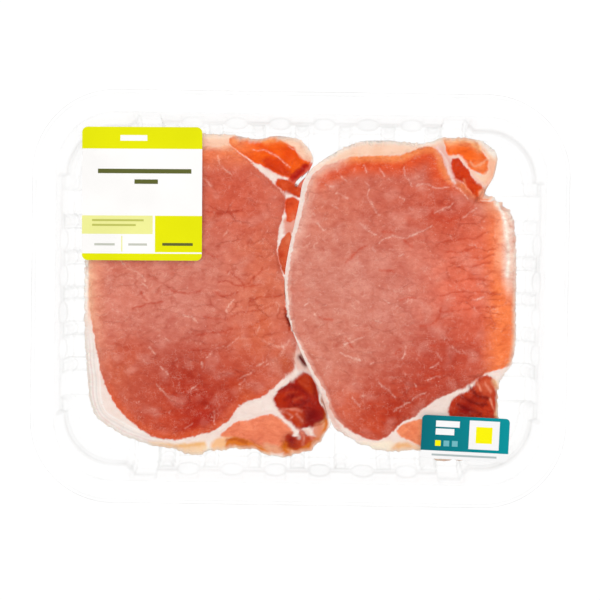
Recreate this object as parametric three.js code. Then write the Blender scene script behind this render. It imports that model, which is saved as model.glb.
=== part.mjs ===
// A sealed meat tray pack: a clear ribbed tray, a clear film across it, two raw pork loin steaks
// and two stickers.
// Millimetres, +Z up, origin under the middle of the tray, +X along its length.
import * as THREE from "three";
import { mergeVertices } from "three/addons/utils/BufferGeometryUtils.js";

// Tray: outside size and sheet
const TRAY_LENGTH = 190;
const TRAY_WIDTH = 146.5;
const TRAY_HEIGHT = 35;
const SHEET = 0.5;
const RIM_DROP = 0.8;
const RIM_STEP = 1.4;
const RIM_UNDERCUT = 0.1;

// Tray wall: the outline that runs along its shoulder, and the levels of the wall
const WALL_HALF_LENGTH = 85.6;
const WALL_HALF_WIDTH = 62.3;
const WALL_CORNER = 20;
const SHOULDER_TOP = 20;
const SHOULDER_FOOT = 17.4;
const RIB_TOP = 13;
const FLOOR_BEND = 3.6;
const FLOOR_TOP = 0.6;
const LONG_SIDE_LEAN = 2.6;
const SHORT_SIDE_LEAN = 0.6;
const CORNER_INSET = 1.9;
const CORNER_AFTER = 4.9;
const LONG_CORNER_FROM = 62;
const SHORT_CORNER_FROM = 46;
const CORNER_STEPS = 7;

// Ribs of the wall: scallops at a steady pitch, a round rib between each two, a pocket at each end
const LONG_PITCH = 15.7;
const LONG_SCALLOPS = 6;
const SHORT_PITCH = 13.1;
const SHORT_SCALLOPS = 4;
const SCALLOP_HALF = 3.7;
const SCALLOP_OUT = 1.8;
const SHORT_SCALLOP_OUT = 0.7;
const SCALLOP_IN = 1.6;
const RIB_HALF = 2.2;
const RIB_DEPTH = 2.3;
const LONG_POCKET_AT = 54.8;
const SHORT_POCKET_AT = 33.3;
const POCKET_HALF = 4.7;
const POCKET_FLANK = 0.9;
const STUD_AT = 40.6;
const STUD_HALF = 3;
const STUD_DEPTH = 2.4;

// Film over the tray, and the stickers on it
const FILM = 0.25;
const FILM_INSET = 1.5;
const FILM_CORNER = 28.5;
const SHEET_GAP = 0.1;
const STICKER = 0.2;
const PRICE_LABEL = { width: 42.4, height: 47.1, corner: 2, x: -56.2, y: 36.5, turn: 0.5 };
const INFO_LABEL = { width: 31.1, height: 15.4, corner: 1.5, x: 59.3, y: -48.5, turn: -2.1 };

// Steaks: how they lie and how they are cut
const STEAK_FOOT = 0.9;
const STEAK_TOP = 16.6;
const STEAK_SECTORS = 80;
const EDGE_ROUND = 3;
const NARROWEST_RIM = 1.2;
const SEAM_DEPTH = 1.3;
const RIM_LOWER = 0.9;
const SWELL = 0.5;
const SHARED_EDGE_GAP = 0.3;

// Rings of the big muscle from its middle out, by their share of the way and their depth under its top
const MUSCLE_RINGS = [
  { share: 0.25, depth: 0 }, { share: 0.5, depth: 0 }, { share: 0.75, depth: 0.2 },
  { share: 0.93, depth: 0.5 }, { share: 1, depth: SEAM_DEPTH },
];

// The rim outside the seam rises to its top at a share of its width, then rounds over to the side
const RIM_TOP_SHARE = 0.55;
const RIM_TOP_LIMIT = 0.8;
const RIM_ROUND_SHARE = 0.45;
const SIDE_START = { inset: 0.3, depth: 4.4 };

// Rings of a steak's side from its upper edge down, by their distance inside the outline and their height
const SIDE_RINGS = [
  { inset: 0, z: 7.47 }, { inset: 0.9, z: 2.6 }, { inset: 2.2, z: STEAK_FOOT },
];

// Where the two steaks touch, from +Y to -Y
const SHARED_EDGE = [
  [0.5, 41], [-0.5, 35], [-2.5, 25], [-4.5, 15], [-5.5, 6], [-4, -7], [-0.5, -17],
  [3.5, -25.5], [7.5, -33], [10, -40],
];

// Left steak, counterclockwise from its top right corner, and the edge of its big muscle
const LEFT_CENTRE = [-40, 3];
const LEFT_FREE_EDGE = [
  [4, 50], [0.5, 56], [-8, 58.2], [-16, 57], [-25, 58.4], [-42, 58], [-58, 54.5], [-70, 44], [-76.5, 28],
  [-77.9, 5], [-76.6, -28], [-73.5, -43.5], [-66, -49.5], [-55, -54], [-44, -56], [-37.6, -58],
  [-32, -56.6], [-16, -55.6], [-9, -58], [-3, -58], [6, -54.6], [9.6, -48.2],
];
const LEFT_MUSCLE = [
  [-6, 36], [-9.5, 41], [-18, 49], [-27, 55], [-42, 56], [-57, 52], [-68, 42], [-74.5, 27], [-76.4, 5],
  [-74, -17], [-69, -34.5], [-62, -44.6], [-54, -50], [-46, -51.8], [-38, -51], [-30, -48], [-22, -41.6],
  [-12.5, -35.6], [-6.5, -31], [-1.6, -25], [-1.4, -15], [-5.4, 0], [-8.2, 14], [-7.8, 25],
];

// Right steak, the same
const RIGHT_CENTRE = [36, 3];
const RIGHT_FREE_EDGE = [
  [13.5, -47.4], [18, -50.4], [24, -53.4], [33, -55.6], [44, -54.6], [51, -57.8], [60, -58], [69, -54],
  [72.6, -44], [72.2, -33], [74, -28], [77.4, -22], [78.2, 0], [77.6, 22], [76, 31], [70, 36.6],
  [66.6, 38.8], [69.6, 45], [70.6, 52.5], [64.5, 57.4], [53, 58.5], [44, 56.4], [28, 57.2], [19, 56],
  [8, 50], [3, 45.6],
];
const RIGHT_MUSCLE = [
  [74.5, 20], [74.8, 0], [74.6, -18], [70.5, -25.4], [64, -28.6], [52, -35], [42, -42.6], [35, -47.4],
  [31.5, -50.4], [25, -50.6], [18, -48.4], [14.5, -44], [11, -37], [7.5, -29.5], [3.5, -22], [0, -14.6],
  [-2.8, -6], [-4, 5], [-3.4, 13], [0, 27], [3, 42], [8, 48], [16, 50.6], [30, 51.2], [42, 53], [48.5, 53.6],
  [52.4, 50], [54.5, 44.5], [58, 40], [64.5, 36], [70, 33], [73.4, 28],
];

const clearPlastic = new THREE.MeshStandardMaterial({
  color: 0xf4f6f6, roughness: 0.08, metalness: 0, transparent: true, opacity: 0.25,
});
const clearFilm = new THREE.MeshStandardMaterial({
  color: 0xffffff, roughness: 0.05, metalness: 0, transparent: true, opacity: 0.12,
});
const leftMeat = new THREE.MeshStandardMaterial({ color: 0xd0674f, roughness: 0.4, metalness: 0 });
const rightMeat = new THREE.MeshStandardMaterial({ color: 0xd4775f, roughness: 0.4, metalness: 0 });
const yellowGreenPaper = new THREE.MeshStandardMaterial({ color: 0xe4e800, roughness: 0.45, metalness: 0 });
const tealPaper = new THREE.MeshStandardMaterial({ color: 0x007f8c, roughness: 0.35, metalness: 0 });

// A closed body from rings of points with equal counts, from the middle of its top face out, down and under.
function loft(rings) {
  const count = rings[0].length;
  const points = [middle(rings[0])];
  rings.forEach((ring) => points.push(...ring));
  points.push(middle(rings[rings.length - 1]));
  const last = points.length - 1;
  const at = (ring, i) => 1 + ring * count + (i % count);
  const faces = [];
  for (let i = 0; i < count; i++) {
    faces.push(0, at(0, i), at(0, i + 1));
    for (let ring = 0; ring + 1 < rings.length; ring++) {
      faces.push(at(ring, i), at(ring + 1, i), at(ring + 1, i + 1));
      faces.push(at(ring, i), at(ring + 1, i + 1), at(ring, i + 1));
    }
    faces.push(last, at(rings.length - 1, i + 1), at(rings.length - 1, i));
  }
  const geometry = new THREE.BufferGeometry().setFromPoints(points).setIndex(faces);
  geometry.computeVertexNormals();
  return geometry;
}

function middle(ring) {
  const sum = ring.reduce((total, point) => total.add(point), new THREE.Vector3());
  return sum.divideScalar(ring.length);
}

const smooth = THREE.MathUtils.smoothstep;

// A round swelling, 1 in its middle and 0 past its half width
function bump(distance, half) {
  const t = Math.min(1, Math.abs(distance) / half);
  return Math.sqrt(1 - t * t);
}

// A steep-sided swelling, with a flat middle
function plateau(distance, half) {
  return 1 - smooth(Math.abs(distance), half - POCKET_FLANK, half);
}

function centres(count, pitch) {
  return Array.from({ length: count }, (_, i) => (i - (count - 1) / 2) * pitch);
}

// What stands along one side of the wall: where its scallops, ribs, pockets and studs have their middles
function sideFeatures(isLong) {
  const pitch = isLong ? LONG_PITCH : SHORT_PITCH;
  const scallops = centres(isLong ? LONG_SCALLOPS : SHORT_SCALLOPS, pitch);
  const ribs = centres(scallops.length + 1, pitch);
  const pocket = isLong ? LONG_POCKET_AT : SHORT_POCKET_AT;
  return { scallops, ribs, pockets: [-pocket, pocket], studs: isLong ? [] : [-STUD_AT, STUD_AT] };
}

function strongest(places, along, shape, half) {
  return Math.max(0, ...places.map((place) => shape(along - place, half)));
}

// Stations along one straight side, close together only where the wall bends
function sideStations(isLong, halfStraight) {
  const { scallops, ribs, pockets, studs } = sideFeatures(isLong);
  const places = [-halfStraight];
  const add = (middles, half, shares) =>
    middles.forEach((place) => shares.forEach((share) => places.push(place + share * half)));
  add(scallops, SCALLOP_HALF, [-1, -0.5, 0, 0.5, 1]);
  add(ribs, RIB_HALF, [-1, -0.5, 0.5, 1]);
  add(pockets, POCKET_HALF, [-1, -0.8, 0.8, 1]);
  add(studs, STUD_HALF, [-0.95, 0, 0.95]);
  return places.filter((place) => place < halfStraight).sort((a, b) => a - b);
}

// One station of the wall outline: its point, its outward direction and what stands there
function straightStation(side, along) {
  const isLong = side % 2 === 1;
  const reach = isLong ? WALL_HALF_WIDTH : WALL_HALF_LENGTH;
  const turn = (side * Math.PI) / 2;
  const axis = new THREE.Vector3(0, 0, 1);
  const out = new THREE.Vector3(1, 0, 0).applyAxisAngle(axis, turn);
  const point = new THREE.Vector3(reach, along, 0).applyAxisAngle(axis, turn);
  const { scallops, ribs, pockets, studs } = sideFeatures(isLong);
  return {
    point, out,
    scallop: strongest(scallops, along, bump, SCALLOP_HALF),
    rib: strongest(ribs, along, bump, RIB_HALF),
    pocket: strongest(pockets, along, plateau, POCKET_HALF),
    stud: strongest(studs, along, bump, STUD_HALF),
    corner: smooth(Math.abs(along), (isLong ? LONG_POCKET_AT : STUD_AT) + CORNER_AFTER,
      isLong ? LONG_CORNER_FROM : SHORT_CORNER_FROM),
  };
}

function cornerStations(side) {
  const turn = (side * Math.PI) / 2;
  const flip = side % 2 === 1;
  const centreX = (flip ? WALL_HALF_WIDTH : WALL_HALF_LENGTH) - WALL_CORNER;
  const centreY = (flip ? WALL_HALF_LENGTH : WALL_HALF_WIDTH) - WALL_CORNER;
  const axis = new THREE.Vector3(0, 0, 1);
  return Array.from({ length: CORNER_STEPS }, (_, i) => {
    const angle = (i / CORNER_STEPS) * (Math.PI / 2);
    const out = new THREE.Vector3(Math.cos(angle), Math.sin(angle), 0);
    const point = new THREE.Vector3(centreX, centreY, 0).addScaledVector(out, WALL_CORNER);
    point.applyAxisAngle(axis, turn);
    out.applyAxisAngle(axis, turn);
    return { point, out, scallop: 0, rib: 0, pocket: 0, stud: 0, corner: 1 };
  });
}

function wallStations() {
  const stations = [];
  for (let side = 0; side < 4; side++) {
    const isLong = side % 2 === 1;
    const halfStraight = (isLong ? WALL_HALF_LENGTH : WALL_HALF_WIDTH) - WALL_CORNER;
    sideStations(isLong, halfStraight).forEach((along) => stations.push(straightStation(side, along)));
    stations.push(...cornerStations(side));
  }
  return stations;
}

// How far the mouth of the tray stands outside the wall outline, more on the long sides
function mouthOffset(station) {
  const share = Math.abs(station.out.y);
  return SHORT_SIDE_LEAN + (LONG_SIDE_LEAN - SHORT_SIDE_LEAN) * share;
}

// How far the wall stands outside its outline at one level
function wallOffset(station, level) {
  const share = Math.abs(station.out.y);
  const scallopOut = SHORT_SCALLOP_OUT + (SCALLOP_OUT - SHORT_SCALLOP_OUT) * share;
  const plain = level.lean - CORNER_INSET * station.corner;
  const ribbed = plain + level.scallop * station.scallop * (level.scallop > 0 ? scallopOut : SCALLOP_IN)
    - RIB_DEPTH * level.rib * station.rib - STUD_DEPTH * level.rib * station.stud;
  const pocketed = mouthOffset(station) - level.pocketLean;
  return ribbed + (pocketed - ribbed) * station.pocket;
}

// The levels of the wall from its shoulder down to the floor: z inside, under outside,
// and side, the share of the sheet's thickness that lies sideways
const WALL_LEVELS = [
  { z: SHOULDER_TOP, under: SHOULDER_TOP, lean: 0, scallop: 1, rib: 0, pocketLean: 0.3, side: 1 },
  { z: SHOULDER_FOOT, under: SHOULDER_FOOT, lean: -0.5, scallop: -1, rib: 0.35, pocketLean: 0.4, side: 1 },
  { z: RIB_TOP, under: RIB_TOP, lean: -0.7, scallop: -0.8, rib: 1, pocketLean: 0.6, side: 1 },
  { z: FLOOR_BEND, under: FLOOR_BEND - 0.05, lean: -1.1, scallop: -0.5, rib: 1, pocketLean: 1.2, side: 0.9 },
  { z: FLOOR_TOP, under: 0, lean: -3, scallop: 0, rib: 0.6, pocketLean: 3.2, side: 0.4 },
];

function ringOf(stations, offsetOf, z) {
  return stations.map((station) => {
    const place = station.point.clone().addScaledVector(station.out, offsetOf(station));
    place.z = z;
    return place;
  });
}

function trayGeometry() {
  const stations = wallStations();
  const rimX = TRAY_LENGTH / 2 - WALL_HALF_LENGTH;
  const rimY = TRAY_WIDTH / 2 - WALL_HALF_WIDTH;
  const rim = (station) => rimX + (rimY - rimX) * Math.abs(station.out.y);
  const inner = WALL_LEVELS.map((level) => ringOf(stations, (s) => wallOffset(s, level), level.z));
  const outer = WALL_LEVELS.map((level) =>
    ringOf(stations, (s) => wallOffset(s, level) + SHEET * level.side, level.under));
  const rings = [
    ...inner.reverse(),
    ringOf(stations, mouthOffset, TRAY_HEIGHT),
    ringOf(stations, (s) => rim(s) - RIM_STEP, TRAY_HEIGHT),
    ringOf(stations, rim, TRAY_HEIGHT - RIM_DROP),
    ringOf(stations, (s) => rim(s) - RIM_UNDERCUT, TRAY_HEIGHT - RIM_DROP - SHEET),
    ringOf(stations, (s) => rim(s) - RIM_STEP - SHEET, TRAY_HEIGHT - SHEET),
    ringOf(stations, (s) => mouthOffset(s) + SHEET, TRAY_HEIGHT - SHEET),
    ...outer,
  ];
  return loft(rings);
}

// The distance from a centre to a smooth closed outline, in evenly spaced directions
function reachAllRound(outline, centre, count) {
  const curve = new THREE.CatmullRomCurve3(
    outline.map(([x, y]) => new THREE.Vector3(x - centre[0], y - centre[1], 0)), true, "centripetal");
  const fine = curve.getPoints(outline.length * 12).slice(1);
  const polar = fine.map((point) => [Math.atan2(point.y, point.x), Math.hypot(point.x, point.y)]);
  polar.sort((a, b) => a[0] - b[0]);
  return Array.from({ length: count }, (_, i) => {
    const angle = -Math.PI + (2 * Math.PI * (i + 0.5)) / count;
    const next = polar.findIndex((entry) => entry[0] >= angle);
    const after = polar[next < 0 ? 0 : next];
    const before = polar[next <= 0 ? polar.length - 1 : next - 1];
    const gap = THREE.MathUtils.euclideanModulo(after[0] - before[0], 2 * Math.PI);
    const part = THREE.MathUtils.euclideanModulo(angle - before[0], 2 * Math.PI) / gap;
    return { angle, reach: before[1] + (after[1] - before[1]) * part };
  });
}

// Gentle swells over the cut face
function swell(x, y) {
  return SWELL * (Math.sin(x * 0.11 + 1.3) * Math.cos(y * 0.13) + 0.5 * Math.sin(x * 0.21 - y * 0.17));
}

// A steak: a slab with rounded edges, a raised big muscle, a groove round it and a lower rim
function steakGeometry(outline, muscle, centre) {
  const outer = reachAllRound(outline, centre, STEAK_SECTORS);
  const inner = reachAllRound(muscle, centre, STEAK_SECTORS);
  const rim = outer.map((entry, i) => Math.max(NARROWEST_RIM, entry.reach - inner[i].reach));
  const ring = (reachOf, heightOf) => outer.map(({ angle, reach }, i) => {
    const r = reachOf(reach, rim[i]);
    const x = centre[0] + r * Math.cos(angle);
    const y = centre[1] + r * Math.sin(angle);
    return new THREE.Vector3(x, y, heightOf(x, y, rim[i]));
  });
  const level = (z) => () => z;
  const face = (drop) => (x, y) => STEAK_TOP - drop + swell(x, y);
  const rimTop = (width) =>
    Math.max(width * RIM_TOP_SHARE, Math.min(EDGE_ROUND, width * RIM_TOP_LIMIT));
  return loft([
    ...MUSCLE_RINGS.map(({ share, depth }) => ring((reach, width) => (reach - width) * share, face(depth))),
    ring((reach, width) => reach - rimTop(width), face(RIM_LOWER)),
    ring((reach, width) => reach - Math.min(EDGE_ROUND, width) * RIM_ROUND_SHARE, face(2 * RIM_LOWER)),
    ring((reach) => reach - SIDE_START.inset, face(SIDE_START.depth)),
    ...SIDE_RINGS.map(({ inset, z }) => ring((reach) => reach - inset, level(z))),
  ]);
}

function shifted(points, dx) {
  return points.map(([x, y]) => [x + dx, y]);
}

function leftSteakOutline() {
  return [...LEFT_FREE_EDGE, ...shifted(SHARED_EDGE, -SHARED_EDGE_GAP).reverse()];
}

function rightSteakOutline() {
  return [...RIGHT_FREE_EDGE, ...shifted(SHARED_EDGE, SHARED_EDGE_GAP)];
}

// A flat sheet with rounded corners, its underside at z
function sheetGeometry(width, height, corner, thickness) {
  const x = width / 2;
  const y = height / 2;
  const shape = new THREE.Shape();
  shape.moveTo(-x + corner, -y);
  shape.absarc(x - corner, -y + corner, corner, -Math.PI / 2, 0, false);
  shape.absarc(x - corner, y - corner, corner, 0, Math.PI / 2, false);
  shape.absarc(-x + corner, y - corner, corner, Math.PI / 2, Math.PI, false);
  shape.absarc(-x + corner, -y + corner, corner, Math.PI, 1.5 * Math.PI, false);
  const solid = new THREE.ExtrudeGeometry(shape, { depth: thickness, bevelEnabled: false, curveSegments: 8 });
  solid.deleteAttribute("normal");
  solid.deleteAttribute("uv");
  const merged = mergeVertices(solid, 1e-4);
  merged.computeVertexNormals();
  return merged;
}

function named(name, geometry, material) {
  const mesh = new THREE.Mesh(geometry, material);
  mesh.name = name;
  return mesh;
}

function sticker(name, label, material) {
  const mesh = named(name, sheetGeometry(label.width, label.height, label.corner, STICKER), material);
  mesh.position.set(label.x, label.y, TRAY_HEIGHT + SHEET_GAP + FILM + SHEET_GAP);
  mesh.rotation.z = THREE.MathUtils.degToRad(label.turn);
  return mesh;
}

const pack = new THREE.Group();
pack.add(named("tray", trayGeometry(), clearPlastic));
pack.add(named("steak_left", steakGeometry(leftSteakOutline(), LEFT_MUSCLE, LEFT_CENTRE), leftMeat));
pack.add(named("steak_right", steakGeometry(rightSteakOutline(), RIGHT_MUSCLE, RIGHT_CENTRE), rightMeat));

const film = named("lid_film", sheetGeometry(TRAY_LENGTH - 2 * FILM_INSET, TRAY_WIDTH - 2 * FILM_INSET,
  FILM_CORNER, FILM), clearFilm);
film.position.z = TRAY_HEIGHT + SHEET_GAP;
pack.add(film);
pack.add(sticker("price_label", PRICE_LABEL, yellowGreenPaper));
pack.add(sticker("info_label", INFO_LABEL, tealPaper));

export default pack;
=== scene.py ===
import math
import random

import bmesh
import bpy
import numpy as np
from bpy.props import FloatProperty, FloatVectorProperty, IntProperty, PointerProperty
from mathutils import Matrix, Vector, noise


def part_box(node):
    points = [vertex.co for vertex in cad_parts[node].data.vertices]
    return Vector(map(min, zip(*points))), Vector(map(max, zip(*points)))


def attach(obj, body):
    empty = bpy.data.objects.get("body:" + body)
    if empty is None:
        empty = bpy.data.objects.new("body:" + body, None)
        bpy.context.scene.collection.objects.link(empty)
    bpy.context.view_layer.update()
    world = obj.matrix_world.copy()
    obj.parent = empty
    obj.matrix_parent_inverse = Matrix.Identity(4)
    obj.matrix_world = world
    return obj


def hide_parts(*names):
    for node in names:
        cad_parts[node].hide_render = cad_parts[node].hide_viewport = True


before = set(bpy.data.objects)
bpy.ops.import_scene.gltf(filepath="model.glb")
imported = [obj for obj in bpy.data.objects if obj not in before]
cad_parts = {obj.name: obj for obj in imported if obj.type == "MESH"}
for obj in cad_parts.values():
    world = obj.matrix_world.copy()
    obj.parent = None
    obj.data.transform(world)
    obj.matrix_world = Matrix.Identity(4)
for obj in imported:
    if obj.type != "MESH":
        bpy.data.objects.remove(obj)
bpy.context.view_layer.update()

bl_info = {
    "name": "Meat tray pack",
    "version": (1, 0, 0),
    "blender": (4, 5, 0),
    "location": "View3D > Sidebar > Tray pack",
    "description": "A clear ribbed tray under film with two raw pork loin steaks and two plain stickers",
    "category": "Object",
}

MM = 0.001
TRAY_HIGH = Vector(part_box("tray")[1]) / MM
STEAK_LOW, STEAK_HIGH = (Vector(corner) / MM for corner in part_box("steak_left"))

# How the photo was taken: its pixels at the rim's height, its middle, its turn and where the camera stood
PIXEL = 0.3538
PHOTO_MIDDLE = (299.7, 299.2)
PHOTO_TURN = math.radians(0.83)
CAMERA_HEIGHT = 1000.0
CAMERA_NORTH = 37.7
FACE_DEPTH = TRAY_HIGH.z - 16.6


# Colours as the eye sees them, from 0 to 255
def seen(red, green, blue):
    return (red / 255, green / 255, blue / 255)


SALMON = seen(213, 129, 112)
FAT = seen(244, 224, 214)
FAT_BRIGHT = seen(245, 236, 229)
EDGE_HIGHLIGHT = seen(254, 240, 228)
# Painted highlight along the steaks' worn edges
TALLOW = seen(246, 198, 152)


class TraySizes(bpy.types.PropertyGroup):
    sheet: FloatProperty(name="Sheet", description="Thickness of the clear sheet in millimetres",
                         default=0.4, min=0.2, max=0.5)
    scallops_long: IntProperty(name="Scallops, long side", description="Scallops along each long wall",
                               default=6, min=1)
    scallops_short: IntProperty(name="Scallops, short side", description="Scallops along each short wall",
                                default=4, min=1)
    clearness: FloatProperty(name="Haze", description="How much of the sheet shows where it is flat",
                             default=0.012, min=0.0, max=1.0, subtype="FACTOR")
    # Painted shade: the creases take this darker tone, for the light that the clear sheet bends at its folds
    crease_shade_colour: FloatVectorProperty(name="Crease colour", description="Tone of the sheet along its creases",
                                     default=seen(150, 154, 146), subtype="COLOR_GAMMA", min=0, max=1)


class SteakSizes(bpy.types.PropertyGroup):
    spacing: FloatProperty(name="Spacing", default=0.35, min=0.34, max=3.0,
                           description="Distance between the cut face's vertices in millimetres")
    seam_depth: FloatProperty(name="Seam depth", default=0.45, min=0.0, max=1.5,
                              description="Depth of the seams between muscles in millimetres")
    lean: FloatVectorProperty(name="Lean", description="Colour of the big muscle",
                              default=SALMON, subtype="COLOR_GAMMA", min=0, max=1)
    fat: FloatVectorProperty(name="Fat", description="Colour of the fat rim and the seams",
                             default=FAT, subtype="COLOR_GAMMA", min=0, max=1)


class StickerSizes(bpy.types.PropertyGroup):
    thickness: FloatProperty(name="Paper", description="Thickness of the paper in millimetres",
                             default=0.16, min=0.05, max=0.3)
    price_colour: FloatVectorProperty(name="Price sticker", description="Field colour of the price sticker",
                                      default=seen(229, 229, 2), subtype="COLOR_GAMMA", min=0, max=1)
    info_colour: FloatVectorProperty(name="Info sticker", description="Field colour of the small sticker",
                                     default=seen(0, 108, 119), subtype="COLOR_GAMMA", min=0, max=1)


class StageSizes(bpy.types.PropertyGroup):
    daylight: FloatProperty(name="Daylight", description="Strength of the soft light from all round",
                            default=0.28, min=0.0)
    overhead: FloatProperty(name="Overhead", description="Power of the large soft lamp overhead in watts",
                            default=8.1, min=0.0)
    lamp: FloatProperty(name="Lamps", description="Power of each of the four lamps round it in watts",
                        default=0.7, min=0.0)
    floor_glow: FloatProperty(name="Floor glow", description="Light that the floor gives of its own",
                              default=0.9, min=0.0)


# The lamps, in metres
LAMP_RING = 0.7
LAMP_HEIGHT = 1.1
LAMP_SIZE = 0.5
OVERHEAD_SIZE = 0.24

# The floor, in millimetres, just below the pack, and the camera's sensor and the picture's side in pixels
FLOOR_HALF = 2500
FLOOR_DROP = 0.25
SENSOR = 36
PHOTO_SIDE = 600

# Light level on a level surface and the gloss on top of it, so that a colour comes out as the eye sees it
LIGHT_LEVEL = 1.15
LIGHT_GLOSS = 0.004


def albedo(colour):
    """The surface colour that looks like this one under the stage's light."""
    channels = np.asarray(colour[:3], float)
    low = channels / 12.92
    high = ((channels + 0.055) / 1.055) ** 2.4
    light = np.where(channels <= 0.04045, low, high)
    return np.clip(light - LIGHT_GLOSS, 0.002, 1) / LIGHT_LEVEL


def from_photo(x, y, depth=FACE_DEPTH):
    """The place on the pack, in millimetres, of a photo pixel at a depth below the rim."""
    right, up = x - PHOTO_MIDDLE[0], PHOTO_MIDDLE[1] - y
    grow = (CAMERA_HEIGHT + depth) / CAMERA_HEIGHT
    east = PIXEL * (right * math.cos(PHOTO_TURN) - up * math.sin(PHOTO_TURN)) * grow
    north = PIXEL * (right * math.sin(PHOTO_TURN) + up * math.cos(PHOTO_TURN)) * grow
    return (east, north - CAMERA_NORTH * depth / CAMERA_HEIGHT)


def smoothstep(value, low, high):
    share = np.clip((value - low) / (high - low), 0, 1)
    return share * share * (3 - 2 * share)


def smooth_outline(points, closed=True, steps=8):
    """A centripetal curve through the points, as an array."""
    points = np.asarray(points, float)
    if closed:
        padded = np.vstack([points[-1], points, points[:2]])
    else:
        padded = np.vstack([2 * points[0] - points[1], points, 2 * points[-1] - points[-2]])
    pieces = []
    for p0, p1, p2, p3 in zip(padded, padded[1:], padded[2:], padded[3:]):
        gaps = [math.sqrt(max(1e-6, math.dist(a, b))) for a, b in ((p0, p1), (p1, p2), (p2, p3))]
        k0, k1, k2, k3 = np.cumsum([0] + gaps)
        t = np.linspace(k1, k2, steps, endpoint=False)[:, None]

        def lerp(a, b, start, end):
            return a + (b - a) * (t - start) / (end - start)

        a1, a2, a3 = lerp(p0, p1, k0, k1), lerp(p1, p2, k1, k2), lerp(p2, p3, k2, k3)
        pieces.append(lerp(lerp(a1, a2, k0, k2), lerp(a2, a3, k1, k3), k1, k2))
    curve = np.vstack(pieces)
    return curve if closed else np.vstack([curve, points[-1]])


def distance_to_line(places, line, closed=False):
    line = np.asarray(line, float)
    ends = np.vstack([line[1:], line[:1]]) if closed else line[1:]
    best = np.full(len(places), 1e9)
    for a, b in zip(line, ends):
        along = b - a
        t = np.clip((places - a) @ along / max(1e-9, along @ along), 0, 1)
        best = np.minimum(best, np.hypot(*(places - a - t[:, None] * along).T))
    return best


def depth_inside(places, polygon):
    """Distance to the polygon's edge, positive inside it."""
    polygon = np.asarray(polygon, float)
    x, y = places.T
    odd = np.zeros(len(places), bool)
    for (x0, y0), (x1, y1) in zip(polygon, np.roll(polygon, -1, axis=0)):
        crosses = (y0 > y) != (y1 > y)
        odd ^= crosses & (x < (x1 - x0) * (y - y0) / (y1 - y0 + 1e-12) + x0)
    away = distance_to_line(places, polygon, closed=True)
    return np.where(odd, away, -away)


def noise_over(places, size, seed):
    """Smooth noise from -1 to 1 over the places, with lumps of about the given size."""
    return np.array([noise.noise(Vector((x / size, y / size, seed))) for x, y in places])


# Nodes and materials

def add(tree, kind, **settings):
    made = tree.nodes.new(kind)
    inputs = settings.pop("inputs", {})
    for name, value in settings.items():
        setattr(made, name, value)
    for name, value in inputs.items():
        if isinstance(value, bpy.types.NodeSocket):
            tree.links.new(value, made.inputs[name])
        else:
            made.inputs[name].default_value = value
    return made


def new_group(name, inputs, outputs):
    tree = bpy.data.node_groups.new(name, "ShaderNodeTree")
    for label, kind, default in inputs:
        socket = tree.interface.new_socket(label, in_out="INPUT", socket_type=kind)
        socket.default_value = default
    for label, kind in outputs:
        tree.interface.new_socket(label, in_out="OUTPUT", socket_type=kind)
    return tree, tree.nodes.new("NodeGroupInput"), tree.nodes.new("NodeGroupOutput")


def new_material(name):
    material = bpy.data.materials.new(name)
    material.use_nodes = True
    tree = material.node_tree
    tree.nodes.clear()
    output = tree.nodes.new("ShaderNodeOutputMaterial")
    shader = tree.nodes.new("ShaderNodeBsdfPrincipled")
    tree.links.new(shader.outputs["BSDF"], output.inputs["Surface"])
    return material, tree, shader


def pale_lines(tree, place, scale, width):
    """Mask of a net of thin lines, one cell to each step of the scale."""
    cells = add(tree, "ShaderNodeTexVoronoi", feature="DISTANCE_TO_EDGE",
                inputs={"Vector": place, "Scale": scale, "Randomness": 1.0})
    return add(tree, "ShaderNodeMapRange", interpolation_type="SMOOTHSTEP",
               inputs={"Value": cells.outputs["Distance"], "From Min": 0.0, "From Max": width,
                       "To Min": 1.0, "To Max": 0.0}).outputs[0]


def patches(tree, place, scale, low, high):
    """Mask of soft patches, from noise."""
    cloud = add(tree, "ShaderNodeTexNoise",
                inputs={"Vector": place, "Scale": scale, "Detail": 3.0, "Roughness": 0.6})
    return add(tree, "ShaderNodeMapRange", interpolation_type="SMOOTHSTEP", inputs={
        "Value": cloud.outputs["Fac"], "From Min": low, "From Max": high}).outputs[0]


def worked(tree, operation, *values):
    """The result of a sum on sockets or constants."""
    return add(tree, "ShaderNodeMath", operation=operation, inputs=dict(enumerate(values))).outputs[0]


def product(tree, first, *others):
    for other in others:
        first = worked(tree, "MULTIPLY", first, other)
    return first


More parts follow.
